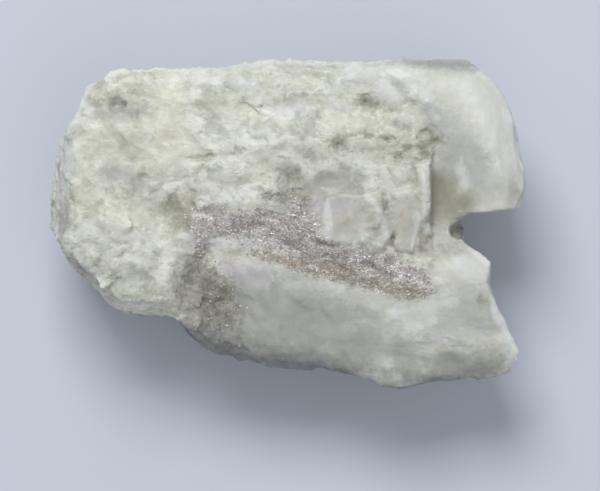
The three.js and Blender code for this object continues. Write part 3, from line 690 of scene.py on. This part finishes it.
@dataclass(frozen=True)
class MassiveAlbite:
    """Broken massive albite: milky, sugar-grained, waxy on its cleavages.

    Light goes a millimetre or two into it, which softens the shade of every facet and lets thin
    edges glow. The fine grain below the mesh is bump, in sizes of real albite grains.
    """

    name: str = "massive_albite_broken"
    colour: str = "cacabb"
    mottles: tuple[Mottle, ...] = (
        Mottle(12.0, "d6d7cd", 0.46, 0.58, 0.75, 1.6),
        Mottle(7.0, "b4b5a4", 0.50, 0.64, 0.6, 1.7),
        Mottle(4.0, "a6a89b", 0.53, 0.63, 0.5, 1.6),
        Mottle(2.4, "dcdcd3", 0.53, 0.61, 0.6, 1.8),
        Mottle(1.5, "9d9e90", 0.58, 0.68, 0.5, 1.8),
        Mottle(0.8, "e4e4dd", 0.59, 0.67, 0.5, 1.3),
        Mottle(0.7, "929384", 0.63, 0.70, 0.45, 1.5),
        Mottle(3.0, "d6c6b8", 0.62, 0.70, 0.45, 2.0),
    )
    streaks: tuple[Mottle, ...] = (
        Mottle(3.2, "8f918d", 0.50, 0.62, 0.5, 2.4),
        Mottle(1.3, "c9cac6", 0.52, 0.60, 0.6, 4.5),
        Mottle(0.6, "dcdcd8", 0.56, 0.64, 0.6, 6.0),
        Mottle(2.2, "c2b9b8", 0.56, 0.66, 0.45, 1.6),
        Mottle(0.9, "878984", 0.59, 0.68, 0.5, 3.0),
        Mottle(0.8, "eceae6", 0.64, 0.69, 0.8, 1.6),
    )
    apart: float = 31.0  # how far the noise of one mottle lies from that of the next
    flecks_from: int = 20  # the number that the flecks of each stain are counted from
    drift: tuple[float, float] = (4.0, 2.4)  # width and reach, in mm, of the bends in every patch
    calm: float = 0.2  # how much of the mottles shows on a smooth cleavage
    sheen: float = 0.22  # how much of the streaks shows on cleavages outside the layers
    dip: float = -8.0  # degrees by which the layers run down towards +X
    stains: tuple[Stain, ...] = (
        Stain(Zone.QUARTZ, "afb0ab", 0.7, 1.6, 4.0, 1.2),
        # grey, and painted shade in the south hollow and the bite
        Stain(Zone.GREY, "94958d", 0.68, 2.2, 3.0, 1.3),
        Stain(Zone.CREAM, "d2d1bd", 0.55, 2.2, 2.2, 1.4),
        CRYSTAL_STAIN,
        # painted glow on thin edges
        Stain(Zone.RIM, "e4e7e2", 0.66, 1.2, 1.2, 0.9),
        Stain(Zone.LILAC, "bbb5b8", 0.6, 1.6, 2.0, 1.2),
        # painted shade in the corner by the plate wall
        Stain(Zone.DUSTY, "83816d", 0.82, 0.7, 3.0, 1.5),
        # olive stain, and painted shade in the notches
        Stain(Zone.SHADED, "8a8776", 0.7, 2.2, 0.9, 1.0),
        SPUR_STAIN,
        SPARKLE_STAIN,
        SEAM_STAIN,
        FRINGE_STAIN,
        # painted shade on the south side
        SOUTH_SHADE_PAINT,
        # painted shade on the bevels under the south rim
        BEVEL_SHADE_PAINT,
        # snow-white bruises, and painted light on lit edges
        BRUISES_AND_PAINTED_LIGHT,
        Stain(Zone.PIT, "4d4a39", 0.85, 1.2, 0.8, 0.6),
    )
    plate_tone: tuple[float, float, float] = (6.0, 0.8, 0.05)  # bundle, plate (mm), share of tone
    plate_middle: float = 0.6  # plates numbered below this are darker than their surroundings
    face_tones: tuple[tuple[float, float], ...] = ((5.0, 0.14), (2.2, 0.14), (1.0, 0.10))
    face_long: float = 1.8  # how much longer the faces are along X
    roughness: tuple[float, float] = (0.42, 0.66)
    rough_width: float = 2.4  # mm from a waxy place to a dull one
    rough_level: tuple[float, float] = (0.35, 0.65)  # noise levels of the waxiest and the dullest
    ior: float = 1.53
    milky: float = 0.5  # share of the light that goes into the stone
    depth: float = 0.75  # how far it goes, in mm
    depth_tint: Place = (1.0, 0.95, 0.84)  # how far red, green and blue go, as shares of that
    grains: tuple[tuple[float, float], ...] = ((1.2, 0.16), (0.45, 0.08))  # width and height, mm
    dust: tuple[float, float] = (0.2, 0.04)
    relief: tuple[float, float] = (0.6, 0.3)  # strength of that relief, broken and smooth

    def dress(self) -> bpy.types.Material:
        """Makes the material.

        Returns:
            The material.
        """
        material, add = new_material(self.name)
        place = add("ShaderNodeTexCoord").outputs["Object"]
        straight = millimetres(add, place)
        width, reach = self.drift
        drift = add("ShaderNodeTexNoise", {"Vector": straight, "Scale": 1 / width, "Detail": 2.0})
        in_mm = add(
            "ShaderNodeVectorMath", {0: drift.outputs["Color"], 1: (reach,) * 3, 2: straight},
            operation="MULTIPLY_ADD",
        )
        smooth = ragged_zone(add, straight, self.near(add, Zone.SMOOTH), SMOOTH_EDGE)
        shade = add("ShaderNodeTexNoise", {"Vector": in_mm, "Scale": 1 / self.rough_width, "Detail": 4.0})
        rough = add(
            "ShaderNodeMapRange",
            {"Value": shade, "From Min": self.rough_level[0], "From Max": self.rough_level[1],
             "To Min": self.roughness[0], "To Max": self.roughness[1]},
        )
        surface = add(
            "ShaderNodeBsdfPrincipled",
            {
                "Base Color": self.paint(add, straight, in_mm, smooth),
                "Roughness": rough,
                "IOR": self.ior,
                "Subsurface Weight": self.milky,
                "Subsurface Radius": self.depth_tint,
                "Subsurface Scale": self.depth * MM,
                "Normal": self.bumps(add, straight, smooth),
            },
        )
        add("ShaderNodeOutputMaterial", {"Surface": surface.outputs["BSDF"]})
        return material

    def near(self, add: Add, zone: Zone) -> Socket:
        """Reads how near a place is to a zone's strokes."""
        return add("ShaderNodeAttribute", attribute_name=zone.value).outputs["Fac"]

    def patch(self, add: Add, in_mm: Node, mottle: Mottle, number: int) -> Node:
        """Makes the patches of one mottle.

        Args:
            add: adds a node to the tree.
            in_mm: the place in mm.
            mottle: their size and share.
            number: sets the patches of one mottle apart from those of the next.

        Returns:
            A node that gives the share of the mottle's colour.
        """
        width = (1 / (mottle.width * mottle.long), 1 / mottle.width, 1 / mottle.width)
        scaled = add(
            "ShaderNodeVectorMath", {0: in_mm, 1: width, 2: (self.apart * number,) * 3},
            operation="MULTIPLY_ADD",
        )
        noise = add("ShaderNodeTexNoise", {"Vector": scaled, "Scale": 1.0, **PATCH_NOISE})
        return add(
            "ShaderNodeMapRange",
            {"Value": noise, "From Min": mottle.start, "From Max": mottle.full, "To Max": mottle.amount},
            interpolation_type="SMOOTHSTEP",
        )

    def paint(
        self, add: Add, straight: Node, in_mm: Node, smooth: Node
    ) -> Node:
        """Lays the mottles, the streaks and then the zones' stains, painted light and painted shade over
        the stone's own colour.

        Args:
            add: adds a node to the tree.
            straight: the place in mm.
            in_mm: the same, drifted so that no patch is round.
            smooth: how smooth the surface is, 0 to 1.

        Returns:
            A node that gives the colour.
        """
        under: Any = linear(self.colour)
        calm = add("ShaderNodeMapRange", {"Value": smooth, "To Min": 1.0, "To Max": self.calm})
        layered = ragged_zone(add, straight, self.near(add, Zone.LAYERED), LAYERED_EDGE)
        clear = add("ShaderNodeMapRange", {"Value": layered, "To Min": self.sheen, "To Max": 1.0})
        clear = add("ShaderNodeMath", {0: clear, 1: smooth}, operation="MULTIPLY")
        dipping = add(
            "ShaderNodeVectorRotate", {"Vector": straight, "Angle": math.radians(-self.dip)},
            rotation_type="Z_AXIS",
        )
        layers = [(mottle, calm, in_mm) for mottle in self.mottles]
        layers += [(streak, clear, dipping) for streak in self.streaks]
        for number, (mottle, where, at) in enumerate(layers):
            patch = self.patch(add, at, mottle, number)
            share = add("ShaderNodeMath", {0: patch, 1: where}, operation="MULTIPLY")
            under = add("ShaderNodeMix", {0: share, 6: under, 7: linear(mottle.colour)}, data_type="RGBA")
        for stain in self.stains:
            share = ragged_zone(add, straight, self.near(add, stain.zone), stain)
            under = add("ShaderNodeMix", {0: share, 6: under, 7: linear(stain.colour)}, data_type="RGBA")
            for number, fleck in enumerate(stain.flecks):
                patch = self.patch(add, in_mm, fleck, self.flecks_from + number)
                part = add("ShaderNodeMath", {0: patch, 1: share}, operation="MULTIPLY")
                under = add("ShaderNodeMix", {0: part, 6: under, 7: linear(fleck.colour)}, data_type="RGBA")
        bundle, thick, tone = self.plate_tone
        plate = blades(add, straight, bundle, thick).outputs["X"]
        tone = add("ShaderNodeMath", {0: calm, 1: tone}, operation="MULTIPLY")
        level = add("ShaderNodeMath", {0: plate, 1: self.plate_middle}, operation="SUBTRACT")
        lighter = add("ShaderNodeMath", {0: level, 1: tone, 2: 1.0}, operation="MULTIPLY_ADD")
        squeezed = add(
            "ShaderNodeVectorMath", {0: dipping, 1: (1 / self.face_long, 1, 1)}, operation="MULTIPLY"
        )
        for width, tone in self.face_tones:
            cells = add("ShaderNodeTexVoronoi", {"Vector": squeezed, "Scale": 1 / width})
            level = add("ShaderNodeSeparateXYZ", {0: cells.outputs["Color"]}).outputs["Y"]
            level = add("ShaderNodeMath", {0: level, 1: 0.5}, operation="SUBTRACT")
            tone = add("ShaderNodeMath", {0: calm, 1: tone}, operation="MULTIPLY")
            lighter = add("ShaderNodeMath", {0: level, 1: tone, 2: lighter}, operation="MULTIPLY_ADD")
        return add("ShaderNodeVectorMath", {0: under, "Scale": lighter}, operation="SCALE")

    def bumps(self, add: Add, in_mm: Node, smooth: Node) -> Node:
        """Roughens the surface with tilted grain faces and dust, less where it is smooth.

        Args:
            add: adds a node to the tree.
            in_mm: the place in mm.
            smooth: how smooth the surface is, 0 to 1.

        Returns:
            A node that gives the normal.
        """
        height: Any = 0.0
        for width, rise in self.grains:
            height = add(
                "ShaderNodeMath", {0: tilted_facets(add, in_mm, width), 1: rise, 2: height},
                operation="MULTIPLY_ADD",
            )
        width, rise = self.dust
        dust = add("ShaderNodeTexNoise", {"Vector": in_mm, "Scale": 1 / width, "Detail": 3.0})
        height = add("ShaderNodeMath", {0: dust, 1: rise, 2: height}, operation="MULTIPLY_ADD")
        broken, calm = self.relief
        strength = add("ShaderNodeMapRange", {"Value": smooth, "To Min": broken, "To Max": calm})
        return add("ShaderNodeBump", {"Strength": strength, "Distance": MM, "Height": height})


@dataclass(frozen=True)
class TourmalineGrains:
    """Small crystals of tourmaline and mica flakes, each with its own tint and a glassy face."""

    name: str = "tourmaline_and_mica_grains"
    tints: tuple[tuple[float, str], ...] = (
        (0.08, "857f78"),
        (0.3, "a7a098"),
        (0.5, "bfb7b2"),
        (0.68, "dad6d1"),
        (0.86, "f5f4f1"),
    )
    stained: tuple[tuple[Zone, str, float], ...] = (
        (Zone.SPUR, "89877a", 0.8),
        (Zone.SPARKLE, "89877a", 0.7),
        (Zone.FRINGE, "8f8071", 0.6),
    )
    full_at: float = 0.45  # how near a stroke the stain is full
    spared: float = 0.8  # how much less of it the brightest grain takes than the darkest
    roughness: float = 0.28
    ior: float = 1.62
    coat: tuple[float, float] = (0.2, 0.12)  # weight and roughness of the glassy face

    def dress(self) -> bpy.types.Material:
        """Makes the material.

        Returns:
            The material.
        """
        material, add = new_material(self.name)
        tint = add("ShaderNodeAttribute", attribute_name="tint").outputs["Fac"]
        ramp = add("ShaderNodeValToRGB", {0: tint})
        stops = ramp.color_ramp.elements
        while len(stops) < len(self.tints):
            stops.new(0.5)
        for stop, (at, colour) in zip(stops, self.tints):
            stop.position = at
            stop.color = linear(colour)
        colour: Any = ramp.outputs["Color"]
        for zone, stain, amount in self.stained:
            near = add("ShaderNodeAttribute", attribute_name=zone.value).outputs["Fac"]
            share = add(
                "ShaderNodeMapRange", {"Value": near, "From Max": self.full_at, "To Max": amount},
                interpolation_type="SMOOTHSTEP",
            )
            dark = add(
                "ShaderNodeMath", {0: tint, 1: -self.spared, 2: 0.5 + self.spared},
                operation="MULTIPLY_ADD", use_clamp=True,
            )
            share = add("ShaderNodeMath", {0: share, 1: dark}, operation="MULTIPLY")
            colour = add("ShaderNodeMix", {0: share, 6: colour, 7: linear(stain)}, data_type="RGBA")
        weight, haze = self.coat
        surface = add(
            "ShaderNodeBsdfPrincipled",
            {"Base Color": colour, "Roughness": self.roughness, "IOR": self.ior, "Coat Weight": weight,
             "Coat Roughness": haze},
        )
        add("ShaderNodeOutputMaterial", {"Surface": surface.outputs["BSDF"]})
        return material


@dataclass(frozen=True)
class PaintedBoard:
    """The pale matt board that the stone stands on."""

    name: str = "pale_matt_board"
    colour: str = "c6cbd4"
    roughness: float = 0.9
    ior: float = 1.3

    def dress(self) -> bpy.types.Material:
        """Makes the material.

        Returns:
            The material.
        """
        material, add = new_material(self.name)
        surface = add(
            "ShaderNodeBsdfPrincipled",
            {"Base Color": linear(self.colour), "Roughness": self.roughness, "IOR": self.ior},
        )
        add("ShaderNodeOutputMaterial", {"Surface": surface.outputs["BSDF"]})
        return material


# ---- the stone ----


@dataclass
class AlbiteBody:
    """The stone itself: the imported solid, with the fine break of albite worked into its surface.

    Sizes in mm. Breaks are the width and height of each size of facet, plates the bundle, the
    plate and its height, and swell the width and height of the slow waves. Wear is how many times
    each zone is smoothed.
    """

    voxel: float = 0.36
    faces_kept: float = 0.60
    weld: float = 0.001
    melt: tuple[float, int] = (0.5, 4)  # share and rounds of the smoothing that melts the steps
    breaks: tuple[tuple[float, float], ...] = ((4.6, 0.75), (2.0, 0.42), (1.0, 0.26))
    plates: tuple[float, float, float] = (5.5, 0.85, 0.26)
    swell: tuple[float, float] = (5.0, 0.6)
    even_share: float = 0.34  # how much of the breaks shows on most of the stone
    wall_share: float = 0.85  # and on its steep sides
    calm_share: float = 0.18  # and on a smooth cleavage
    steep: tuple[float, float] = (0.3, 0.75)  # upward share of a wall's normal, and of the top's
    wear: tuple[tuple[Zone, int], ...] = ((Zone.WORN, 60), (Zone.CRYSTAL, 2), (Zone.KNOCKED, 260))
    rub: float = 0.6  # share of each of those smoothings
    rubbed_at: float = 0.5  # how near a stroke the wear is full
    foot: float = 0.9  # height over which the breaks fade in above the resting face
    sharp: float = 38.0  # degrees between faces from which an edge stays sharp

    def build(self) -> Piece:
        """Makes, shapes and dresses the stone.

        Returns:
            The stone.
        """
        stone = self.copy_solid()
        self.mark_zones(stone)
        self.wear_down(stone)
        self.break_surface(stone)
        self.keep_inside(stone)
        self.mark_zones(stone)
        bpy.ops.object.shade_smooth_by_angle(angle=math.radians(self.sharp))
        put_on(stone, MassiveAlbite().dress())
        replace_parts(stone, NODE)
        return stone

    def copy_solid(self) -> Piece:
        """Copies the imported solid, merges its corners and gives it an even, fine mesh.

        Returns:
            The copy.
        """
        stone = copy_of(frame["nodes"][NODE], "albite_stone")
        del stone["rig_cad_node"]
        bpy.ops.object.mode_set(mode="EDIT")
        bpy.ops.mesh.select_all(action="SELECT")
        bpy.ops.mesh.remove_doubles(threshold=self.weld * MM)
        bpy.ops.object.mode_set(mode="OBJECT")
        remesh = stone.modifiers.new("even_mesh", "REMESH")
        remesh.mode = "VOXEL"
        remesh.voxel_size = self.voxel * MM
        smooth = stone.modifiers.new("melt_steps", "SMOOTH")
        smooth.factor, smooth.iterations = self.melt
        apply_modifiers(stone)
        return stone

    def mark_zones(self, stone: Piece) -> None:
        """Writes each zone to the stone's points.

        Args:
            stone: the stone.
        """
        places = points_of(stone) * PER_MM
        for zone, strokes in ZONES.items():
            level = np.max([stroke.closeness(places) for stroke in strokes], axis=0)
            layers = stone.data.attributes
            layer = layers.get(zone.value) or layers.new(zone.value, "FLOAT", "POINT")
            layer.data.foreach_set("value", level.astype(np.float32))

    def wear_down(self, stone: Piece) -> None:
        """Rounds the holes and steps that handling has worn.

        Args:
            stone: the stone, with its zones.
        """
        for zone, rounds in self.wear:
            near = np.zeros(len(stone.data.vertices), dtype=np.float32)
            stone.data.attributes[zone.value].data.foreach_get("value", near)
            group = stone.vertex_groups.new(name=f"worn_{zone.value}")
            for index in np.flatnonzero(near > 0):
                group.add([int(index)], min(1.0, float(near[index]) / self.rubbed_at), "REPLACE")
            wear = stone.modifiers.new("wear", "SMOOTH")
            wear.factor = self.rub
            wear.iterations = rounds
            wear.vertex_group = group.name
        apply_modifiers(stone)

    def break_surface(self, stone: Piece) -> None:
        """Moves the surface in and out along its normal, in facets and plates of a few sizes.

        Args:
            stone: the stone.
        """
        tree = geometry_tree("broken_albite")
        add = partial(node, tree)
        begin = add("NodeGroupInput")
        in_mm = millimetres(add, add("GeometryNodeInputPosition"))
        height: Any = 0.0
        for width, rise in self.breaks:
            facets = tilted_facets(add, in_mm, width)
            height = add("ShaderNodeMath", {0: facets, 1: rise, 2: height}, operation="MULTIPLY_ADD")
        bundle, thick, rise = self.plates
        plate = blades(add, in_mm, bundle, thick).outputs["X"]
        level = add("ShaderNodeMath", {0: plate, 1: 0.5}, operation="SUBTRACT")
        height = add("ShaderNodeMath", {0: level, 1: rise, 2: height}, operation="MULTIPLY_ADD")
        near = add("GeometryNodeInputNamedAttribute", {"Name": Zone.SMOOTH.value}, data_type="FLOAT")
        smooth = ragged_zone(add, in_mm, near, SMOOTH_EDGE)
        near = add("GeometryNodeInputNamedAttribute", {"Name": Zone.CHIPPED.value}, data_type="FLOAT")
        chipped = ragged_zone(add, in_mm, near, CHIPPED_EDGE)
        normal = add("GeometryNodeInputNormal")
        upright = add("ShaderNodeSeparateXYZ", {0: normal})
        upright = add("ShaderNodeMath", {0: upright.outputs["Z"]}, operation="ABSOLUTE")
        even = add(
            "ShaderNodeMapRange",
            {"Value": upright, "From Min": self.steep[0], "From Max": self.steep[1],
             "To Min": self.wall_share, "To Max": self.even_share},
        )
        share = add("ShaderNodeMapRange", {"Value": chipped, "To Min": even, "To Max": 1.0})
        share = add("ShaderNodeMapRange", {"Value": smooth, "To Min": share, "To Max": self.calm_share})
        height = add("ShaderNodeMath", {0: height, 1: share}, operation="MULTIPLY")
        width, rise = self.swell
        noise = add("ShaderNodeTexNoise", {"Vector": in_mm, "Scale": 1 / width, "Detail": 2.0})
        level = add("ShaderNodeMath", {0: noise, 1: 0.5}, operation="SUBTRACT")
        height = add("ShaderNodeMath", {0: level, 1: rise, 2: height}, operation="MULTIPLY_ADD")
        above = add("ShaderNodeSeparateXYZ", {0: in_mm})
        foot = add("ShaderNodeMapRange", {"Value": above.outputs["Z"], "From Max": self.foot})
        height = add("ShaderNodeMath", {0: height, 1: foot}, operation="MULTIPLY")
        height = add("ShaderNodeMath", {0: height, 1: MM}, operation="MULTIPLY")
        offset = add("ShaderNodeVectorMath", {0: normal, "Scale": height}, operation="SCALE")
        moved = add(
            "GeometryNodeSetPosition", {"Geometry": begin.outputs["Geometry"], "Offset": offset}
        )
        add("NodeGroupOutput", {"Geometry": moved})
        stone.modifiers.new("broken_albite", "NODES").node_group = tree
        fewer = stone.modifiers.new("fewer_faces", "DECIMATE")
        fewer.ratio = self.faces_kept
        apply_modifiers(stone)

    def keep_inside(self, stone: Piece) -> None:
        """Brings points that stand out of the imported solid's box back to it.

        Args:
            stone: the stone.
        """
        kept = np.clip(points_of(stone), *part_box(NODE))
        stone.data.vertices.foreach_set("co", kept.ravel())
        stone.data.update()


@dataclass
class SeamGrains:
    """The grains that stand out of the seam, the spur and the fringe.

    Sizes in mm: needles are short six-sided crystals, flakes are mica plates and lumps are broken
    bits. Density is grains to a square millimetre, shares how much of it each zone gets, and left
    how much is left of it where another zone lies over them.
    """

    density: float = 8.5
    shares: tuple[tuple[Stain, float], ...] = (
        (SEAM_STAIN, 1.0), (SPUR_STAIN, 0.08), (SPARKLE_STAIN, 0.32), (FRINGE_STAIN, 0.7)
    )
    left: tuple[tuple[Stain, float], ...] = ((BRUISES_AND_PAINTED_LIGHT, 0.5), (BEVEL_SHADE_PAINT, 0.0))
    needle: tuple[float, float] = (0.11, 0.70)
    needle_end: float = 0.55  # how wide its thin end is, as a share of the other
    flake: tuple[float, float] = (0.25, 0.05)
    lump: float = 0.17
    lump_sides: Place = (1.3, 0.9, 0.7)
    scale: tuple[float, float] = (0.5, 1.15)
    tilt: float = 0.9
    yaw: float = 0.8  # how far the needles turn away from the seam's own run
    cluster: float = 1.6  # size of the patches of like-tinted grains
    cluster_long: float = 2.0  # how much longer they are along the seam
    cluster_level: tuple[float, float] = (0.36, 0.64)  # noise levels of the darkest and the brightest
    alike: float = 0.4  # how alike the grains of a patch are
    seed: int = 11  # of the points, and of the turns, counted on from it by kind
    kind_seed: int = 18
    size_seed: int = 31  # counted on from it by kind too
    tint_seed: int = 51

    def build(self, stone: Piece) -> Piece:
        """Scatters the grains over the stone and dresses them.

        Args:
            stone: the finished stone, with its zones.

        Returns:
            The grains, joined.
        """
        kinds = [self.make_needle(), self.make_flake(), self.make_lump()]
        grains = copy_of(stone, "tourmaline_grains")
        del grains["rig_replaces"]
        self.scatter(grains, kinds)
        for kind in kinds:
            bpy.data.objects.remove(kind)
        put_on(grains, TourmalineGrains().dress())
        return grains

    def make_needle(self) -> Piece:
        """Makes one short six-sided crystal with a narrowed end.

        Returns:
            The crystal, lying along X at the origin.
        """
        bpy.ops.object.select_all(action="DESELECT")
        radius, length = self.needle
        bpy.ops.mesh.primitive_cone_add(
            vertices=6, radius1=radius * MM, radius2=radius * self.needle_end * MM, depth=length * MM,
            rotation=(0, math.pi / 2, 0),
        )
        bpy.ops.object.transform_apply(location=False, rotation=True, scale=False)
        return bpy.context.active_object

    def make_flake(self) -> Piece:
        """Makes one thin six-sided mica plate.

        Returns:
            The plate, lying at the origin.
        """
        bpy.ops.object.select_all(action="DESELECT")
        radius, thick = self.flake
        bpy.ops.mesh.primitive_cylinder_add(vertices=6, radius=radius * MM, depth=thick * MM)
        return bpy.context.active_object

    def make_lump(self) -> Piece:
        """Makes one broken lump.

        Returns:
            The lump, at the origin.
        """
        bpy.ops.object.select_all(action="DESELECT")
        bpy.ops.mesh.primitive_ico_sphere_add(subdivisions=1, radius=self.lump * MM)
        lump = bpy.context.active_object
        bpy.ops.object.mode_set(mode="EDIT")
        bpy.ops.mesh.select_all(action="SELECT")
        bpy.ops.transform.resize(value=self.lump_sides)
        bpy.ops.object.mode_set(mode="OBJECT")
        return lump

    def zone(self, add: Add, in_mm: Node, stain: Stain) -> Node:
        """Finds how much of a stain there is on the stone.

        Args:
            add: adds a node to the tree.
            in_mm: the place in mm.
            stain: the stain.

        Returns:
            A node that gives 0 to the stain's amount.
        """
        near = add("GeometryNodeInputNamedAttribute", {"Name": stain.zone.value}, data_type="FLOAT")
        return ragged_zone(add, in_mm, near, stain)

    def thickness(self, add: Add, in_mm: Node) -> Node:
        """Finds how thick the grains stand on the stone.

        Args:
            add: adds a node to the tree.
            in_mm: the place in mm.

        Returns:
            A node that gives the grains to a square metre.
        """
        density: Any = 0.0
        for stain, share in self.shares:
            level = self.zone(add, in_mm, stain)
            level = add("ShaderNodeMath", {0: level, 1: share / stain.amount}, operation="MULTIPLY")
            density = add("ShaderNodeMath", {0: density, 1: level}, operation="MAXIMUM")
        for stain, left in self.left:
            bare = add(
                "ShaderNodeMapRange",
                {"Value": self.zone(add, in_mm, stain), "From Max": stain.amount, "To Min": 1.0,
                 "To Max": left},
            )
            density = add("ShaderNodeMath", {0: density, 1: bare}, operation="MULTIPLY")
        return add("ShaderNodeMath", {0: density, 1: self.density * PER_MM**2}, operation="MULTIPLY")

    def copies(
        self, add: Add, points: Node, kinds: list[Piece], number: int
    ) -> Node:
        """Puts copies of one kind of grain on the points that fall to it, each leaning its own way.

        Args:
            add: adds a node to the tree.
            points: the points of all the grains.
            kinds: the grains to be copied.
            number: which of them this is.

        Returns:
            The node of the copies.
        """
        pick = add(
            "FunctionNodeRandomValue", {4: 0, 5: len(kinds) - 1, "Seed": self.kind_seed}, data_type="INT"
        )
        here = add(
            "FunctionNodeCompare", {2: pick.outputs[2], 3: number}, data_type="INT", operation="EQUAL"
        )
        yaw = self.yaw if number == 0 else math.pi
        lean = add(
            "FunctionNodeRandomValue",
            {0: (-self.tilt, -self.tilt, -yaw), 1: (self.tilt, self.tilt, yaw), "Seed": self.seed + number},
            data_type="FLOAT_VECTOR",
        )
        turned = add(
            "FunctionNodeRotateRotation",
            {"Rotation": points.outputs["Rotation"], "Rotate By": lean.outputs[0]},
            rotation_space="LOCAL",
        )
        small, large = self.scale
        size = add(
            "FunctionNodeRandomValue", {2: small, 3: large, "Seed": self.size_seed + number},
            data_type="FLOAT",
        )
        shape = add("GeometryNodeObjectInfo", {"Object": kinds[number]}).outputs["Geometry"]
        return add(
            "GeometryNodeInstanceOnPoints",
            {"Points": points.outputs["Points"], "Selection": here, "Instance": shape,
             "Rotation": turned, "Scale": size.outputs[1]},
        )

    def tint(self, add: Add, in_mm: Node) -> Node:
        """Gives each grain a tint of its own, partly like that of its neighbours.

        Args:
            add: adds a node to the tree.
            in_mm: the place in mm.

        Returns:
            A node that gives 0, the darkest, to 1.
        """
        own = add("FunctionNodeRandomValue", {"Seed": self.tint_seed}, data_type="FLOAT")
        own = add("ShaderNodeMath", {0: own.outputs[1], 1: 1 - self.alike}, operation="MULTIPLY")
        stretched = add(
            "ShaderNodeVectorMath", {0: in_mm, 1: (1 / self.cluster_long, 1, 1)}, operation="MULTIPLY"
        )
        clusters = add(
            "ShaderNodeTexNoise", {"Vector": stretched, "Scale": 1 / self.cluster, "Detail": 2.0}
        )
        low, high = self.cluster_level
        group = add("ShaderNodeMapRange", {"Value": clusters, "From Min": low, "From Max": high})
        return add("ShaderNodeMath", {0: group, 1: self.alike, 2: own}, operation="MULTIPLY_ADD")

    def scatter(self, grains: Piece, kinds: list[Piece]) -> None:
        """Turns a copy of the stone into the grains that stand on its seam.

        Args:
            grains: the copy of the stone.
            kinds: the grains to be copied.
        """
        tree = geometry_tree("grains_on_seam")
        add = partial(node, tree)
        begin = add("NodeGroupInput")
        in_mm = millimetres(add, add("GeometryNodeInputPosition"))
        points = add(
            "GeometryNodeDistributePointsOnFaces",
            {"Mesh": begin.outputs["Geometry"], "Density": self.thickness(add, in_mm), "Seed": self.seed},
        )
        joined = add("GeometryNodeJoinGeometry")
        for number in range(len(kinds)):
            copies = self.copies(add, points, kinds, number)
            tree.links.new(copies.outputs["Instances"], joined.inputs["Geometry"])
        tinted = add(
            "GeometryNodeStoreNamedAttribute",
            {"Geometry": joined, "Name": "tint", "Value": self.tint(add, in_mm)},
            data_type="FLOAT", domain="INSTANCE",
        )
        add("NodeGroupOutput", {"Geometry": add("GeometryNodeRealizeInstances", {"Geometry": tinted})})
        grains.modifiers.new("grains_on_seam", "NODES").node_group = tree
        apply_modifiers(grains)


# ---- the studio ----


@dataclass
class Lamp:
    """A soft rectangular lamp: where it hangs in metres, its side in metres, its power in watts."""

    name: str
    at: Place
    side: float
    power: float
    colour: str

    def build(self, target: Vector) -> None:
        """Hangs the lamp and turns it to the stone.

        Args:
            target: the place it looks at.
        """
        lamp = bpy.data.lights.new(self.name, "AREA")
        lamp.shape = "SQUARE"
        lamp.size = self.side
        lamp.energy = self.power
        lamp.color = linear(self.colour)[:3]
        holder = bpy.data.objects.new(self.name, lamp)
        holder.location = self.at
        holder.rotation_euler = (target - Vector(self.at)).to_track_quat("-Z", "Y").to_euler()
        bpy.context.scene.collection.objects.link(holder)


@dataclass
class Studio:
    """The board, the lamps and the camera, which looks steeply down and a little towards +Y.

    Elevation is in degrees, distances and the board in metres. Aim is the point in mm that the
    view is centred on, across is the width in mm of what it shows there, and lit is the height in
    mm that the lamps are turned to.
    """

    elevation: float = 84.0
    distance: float = 0.9
    aim: Place = (2.48, -3.45, 19.0)
    across: float = 115.3
    sensor: float = 36.0
    nearest: float = 0.01
    board: float = 6.0
    lit: float = 20.0
    surround: str = "c9cdd4"
    surround_strength: float = 0.60
    lamps: tuple[Lamp, ...] = (
        Lamp("window", (-0.14, 0.44, 0.84), 0.42, 6.1, "fbfcff"),
        Lamp("fill", (0.25, -0.5, 0.8), 0.8, 1.6, "fdfbf8"),
    )

    def build(self) -> None:
        """Builds the whole studio."""
        self.build_board()
        self.build_surround()
        for lamp in self.lamps:
            lamp.build(Vector((0, 0, self.lit * MM)))
        self.build_camera()

    def build_board(self) -> None:
        """Lays the board on which the stone stands."""
        bpy.ops.object.select_all(action="DESELECT")
        bpy.ops.mesh.primitive_plane_add(size=self.board, location=(0, 0, 0))
        board = bpy.context.active_object
        board.name = board.data.name = "board"
        board.data.materials.append(PaintedBoard().dress())

    def build_surround(self) -> None:
        """Gives the room its even pale light."""
        world = bpy.data.worlds.new("pale_room")
        world.use_nodes = True
        backing = world.node_tree.nodes["Background"]
        backing.inputs["Color"].default_value = linear(self.surround)
        backing.inputs["Strength"].default_value = self.surround_strength
        bpy.context.scene.world = world

    def build_camera(self) -> None:
        """Sets the camera over the stone, and plain colours for what it shows."""
        camera = bpy.data.cameras.new("camera")
        camera.sensor_width = self.sensor
        camera.lens = self.sensor * self.distance / (self.across * MM)
        camera.clip_start = self.nearest
        holder = bpy.data.objects.new("camera", camera)
        lift = math.radians(self.elevation)
        back = Vector((0, -math.cos(lift), math.sin(lift)))
        holder.location = Vector(self.aim) * MM + back * self.distance
        holder.rotation_euler = (math.pi / 2 - lift, 0, 0)
        bpy.context.scene.collection.objects.link(holder)
        bpy.context.scene.camera = holder
        bpy.context.scene.view_settings.view_transform = "Standard"


def main() -> None:
    """Builds the stone, its grains and the studio."""
    logging.basicConfig(level=logging.INFO, format="%(message)s")
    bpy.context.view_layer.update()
    stone = AlbiteBody().build()
    log.info("%s: %d faces", stone.name, len(stone.data.polygons))
    grains = SeamGrains().build(stone)
    log.info("%s: %d faces", grains.name, len(grains.data.polygons))
    Studio().build()


if __name__ == "__main__":
    main()
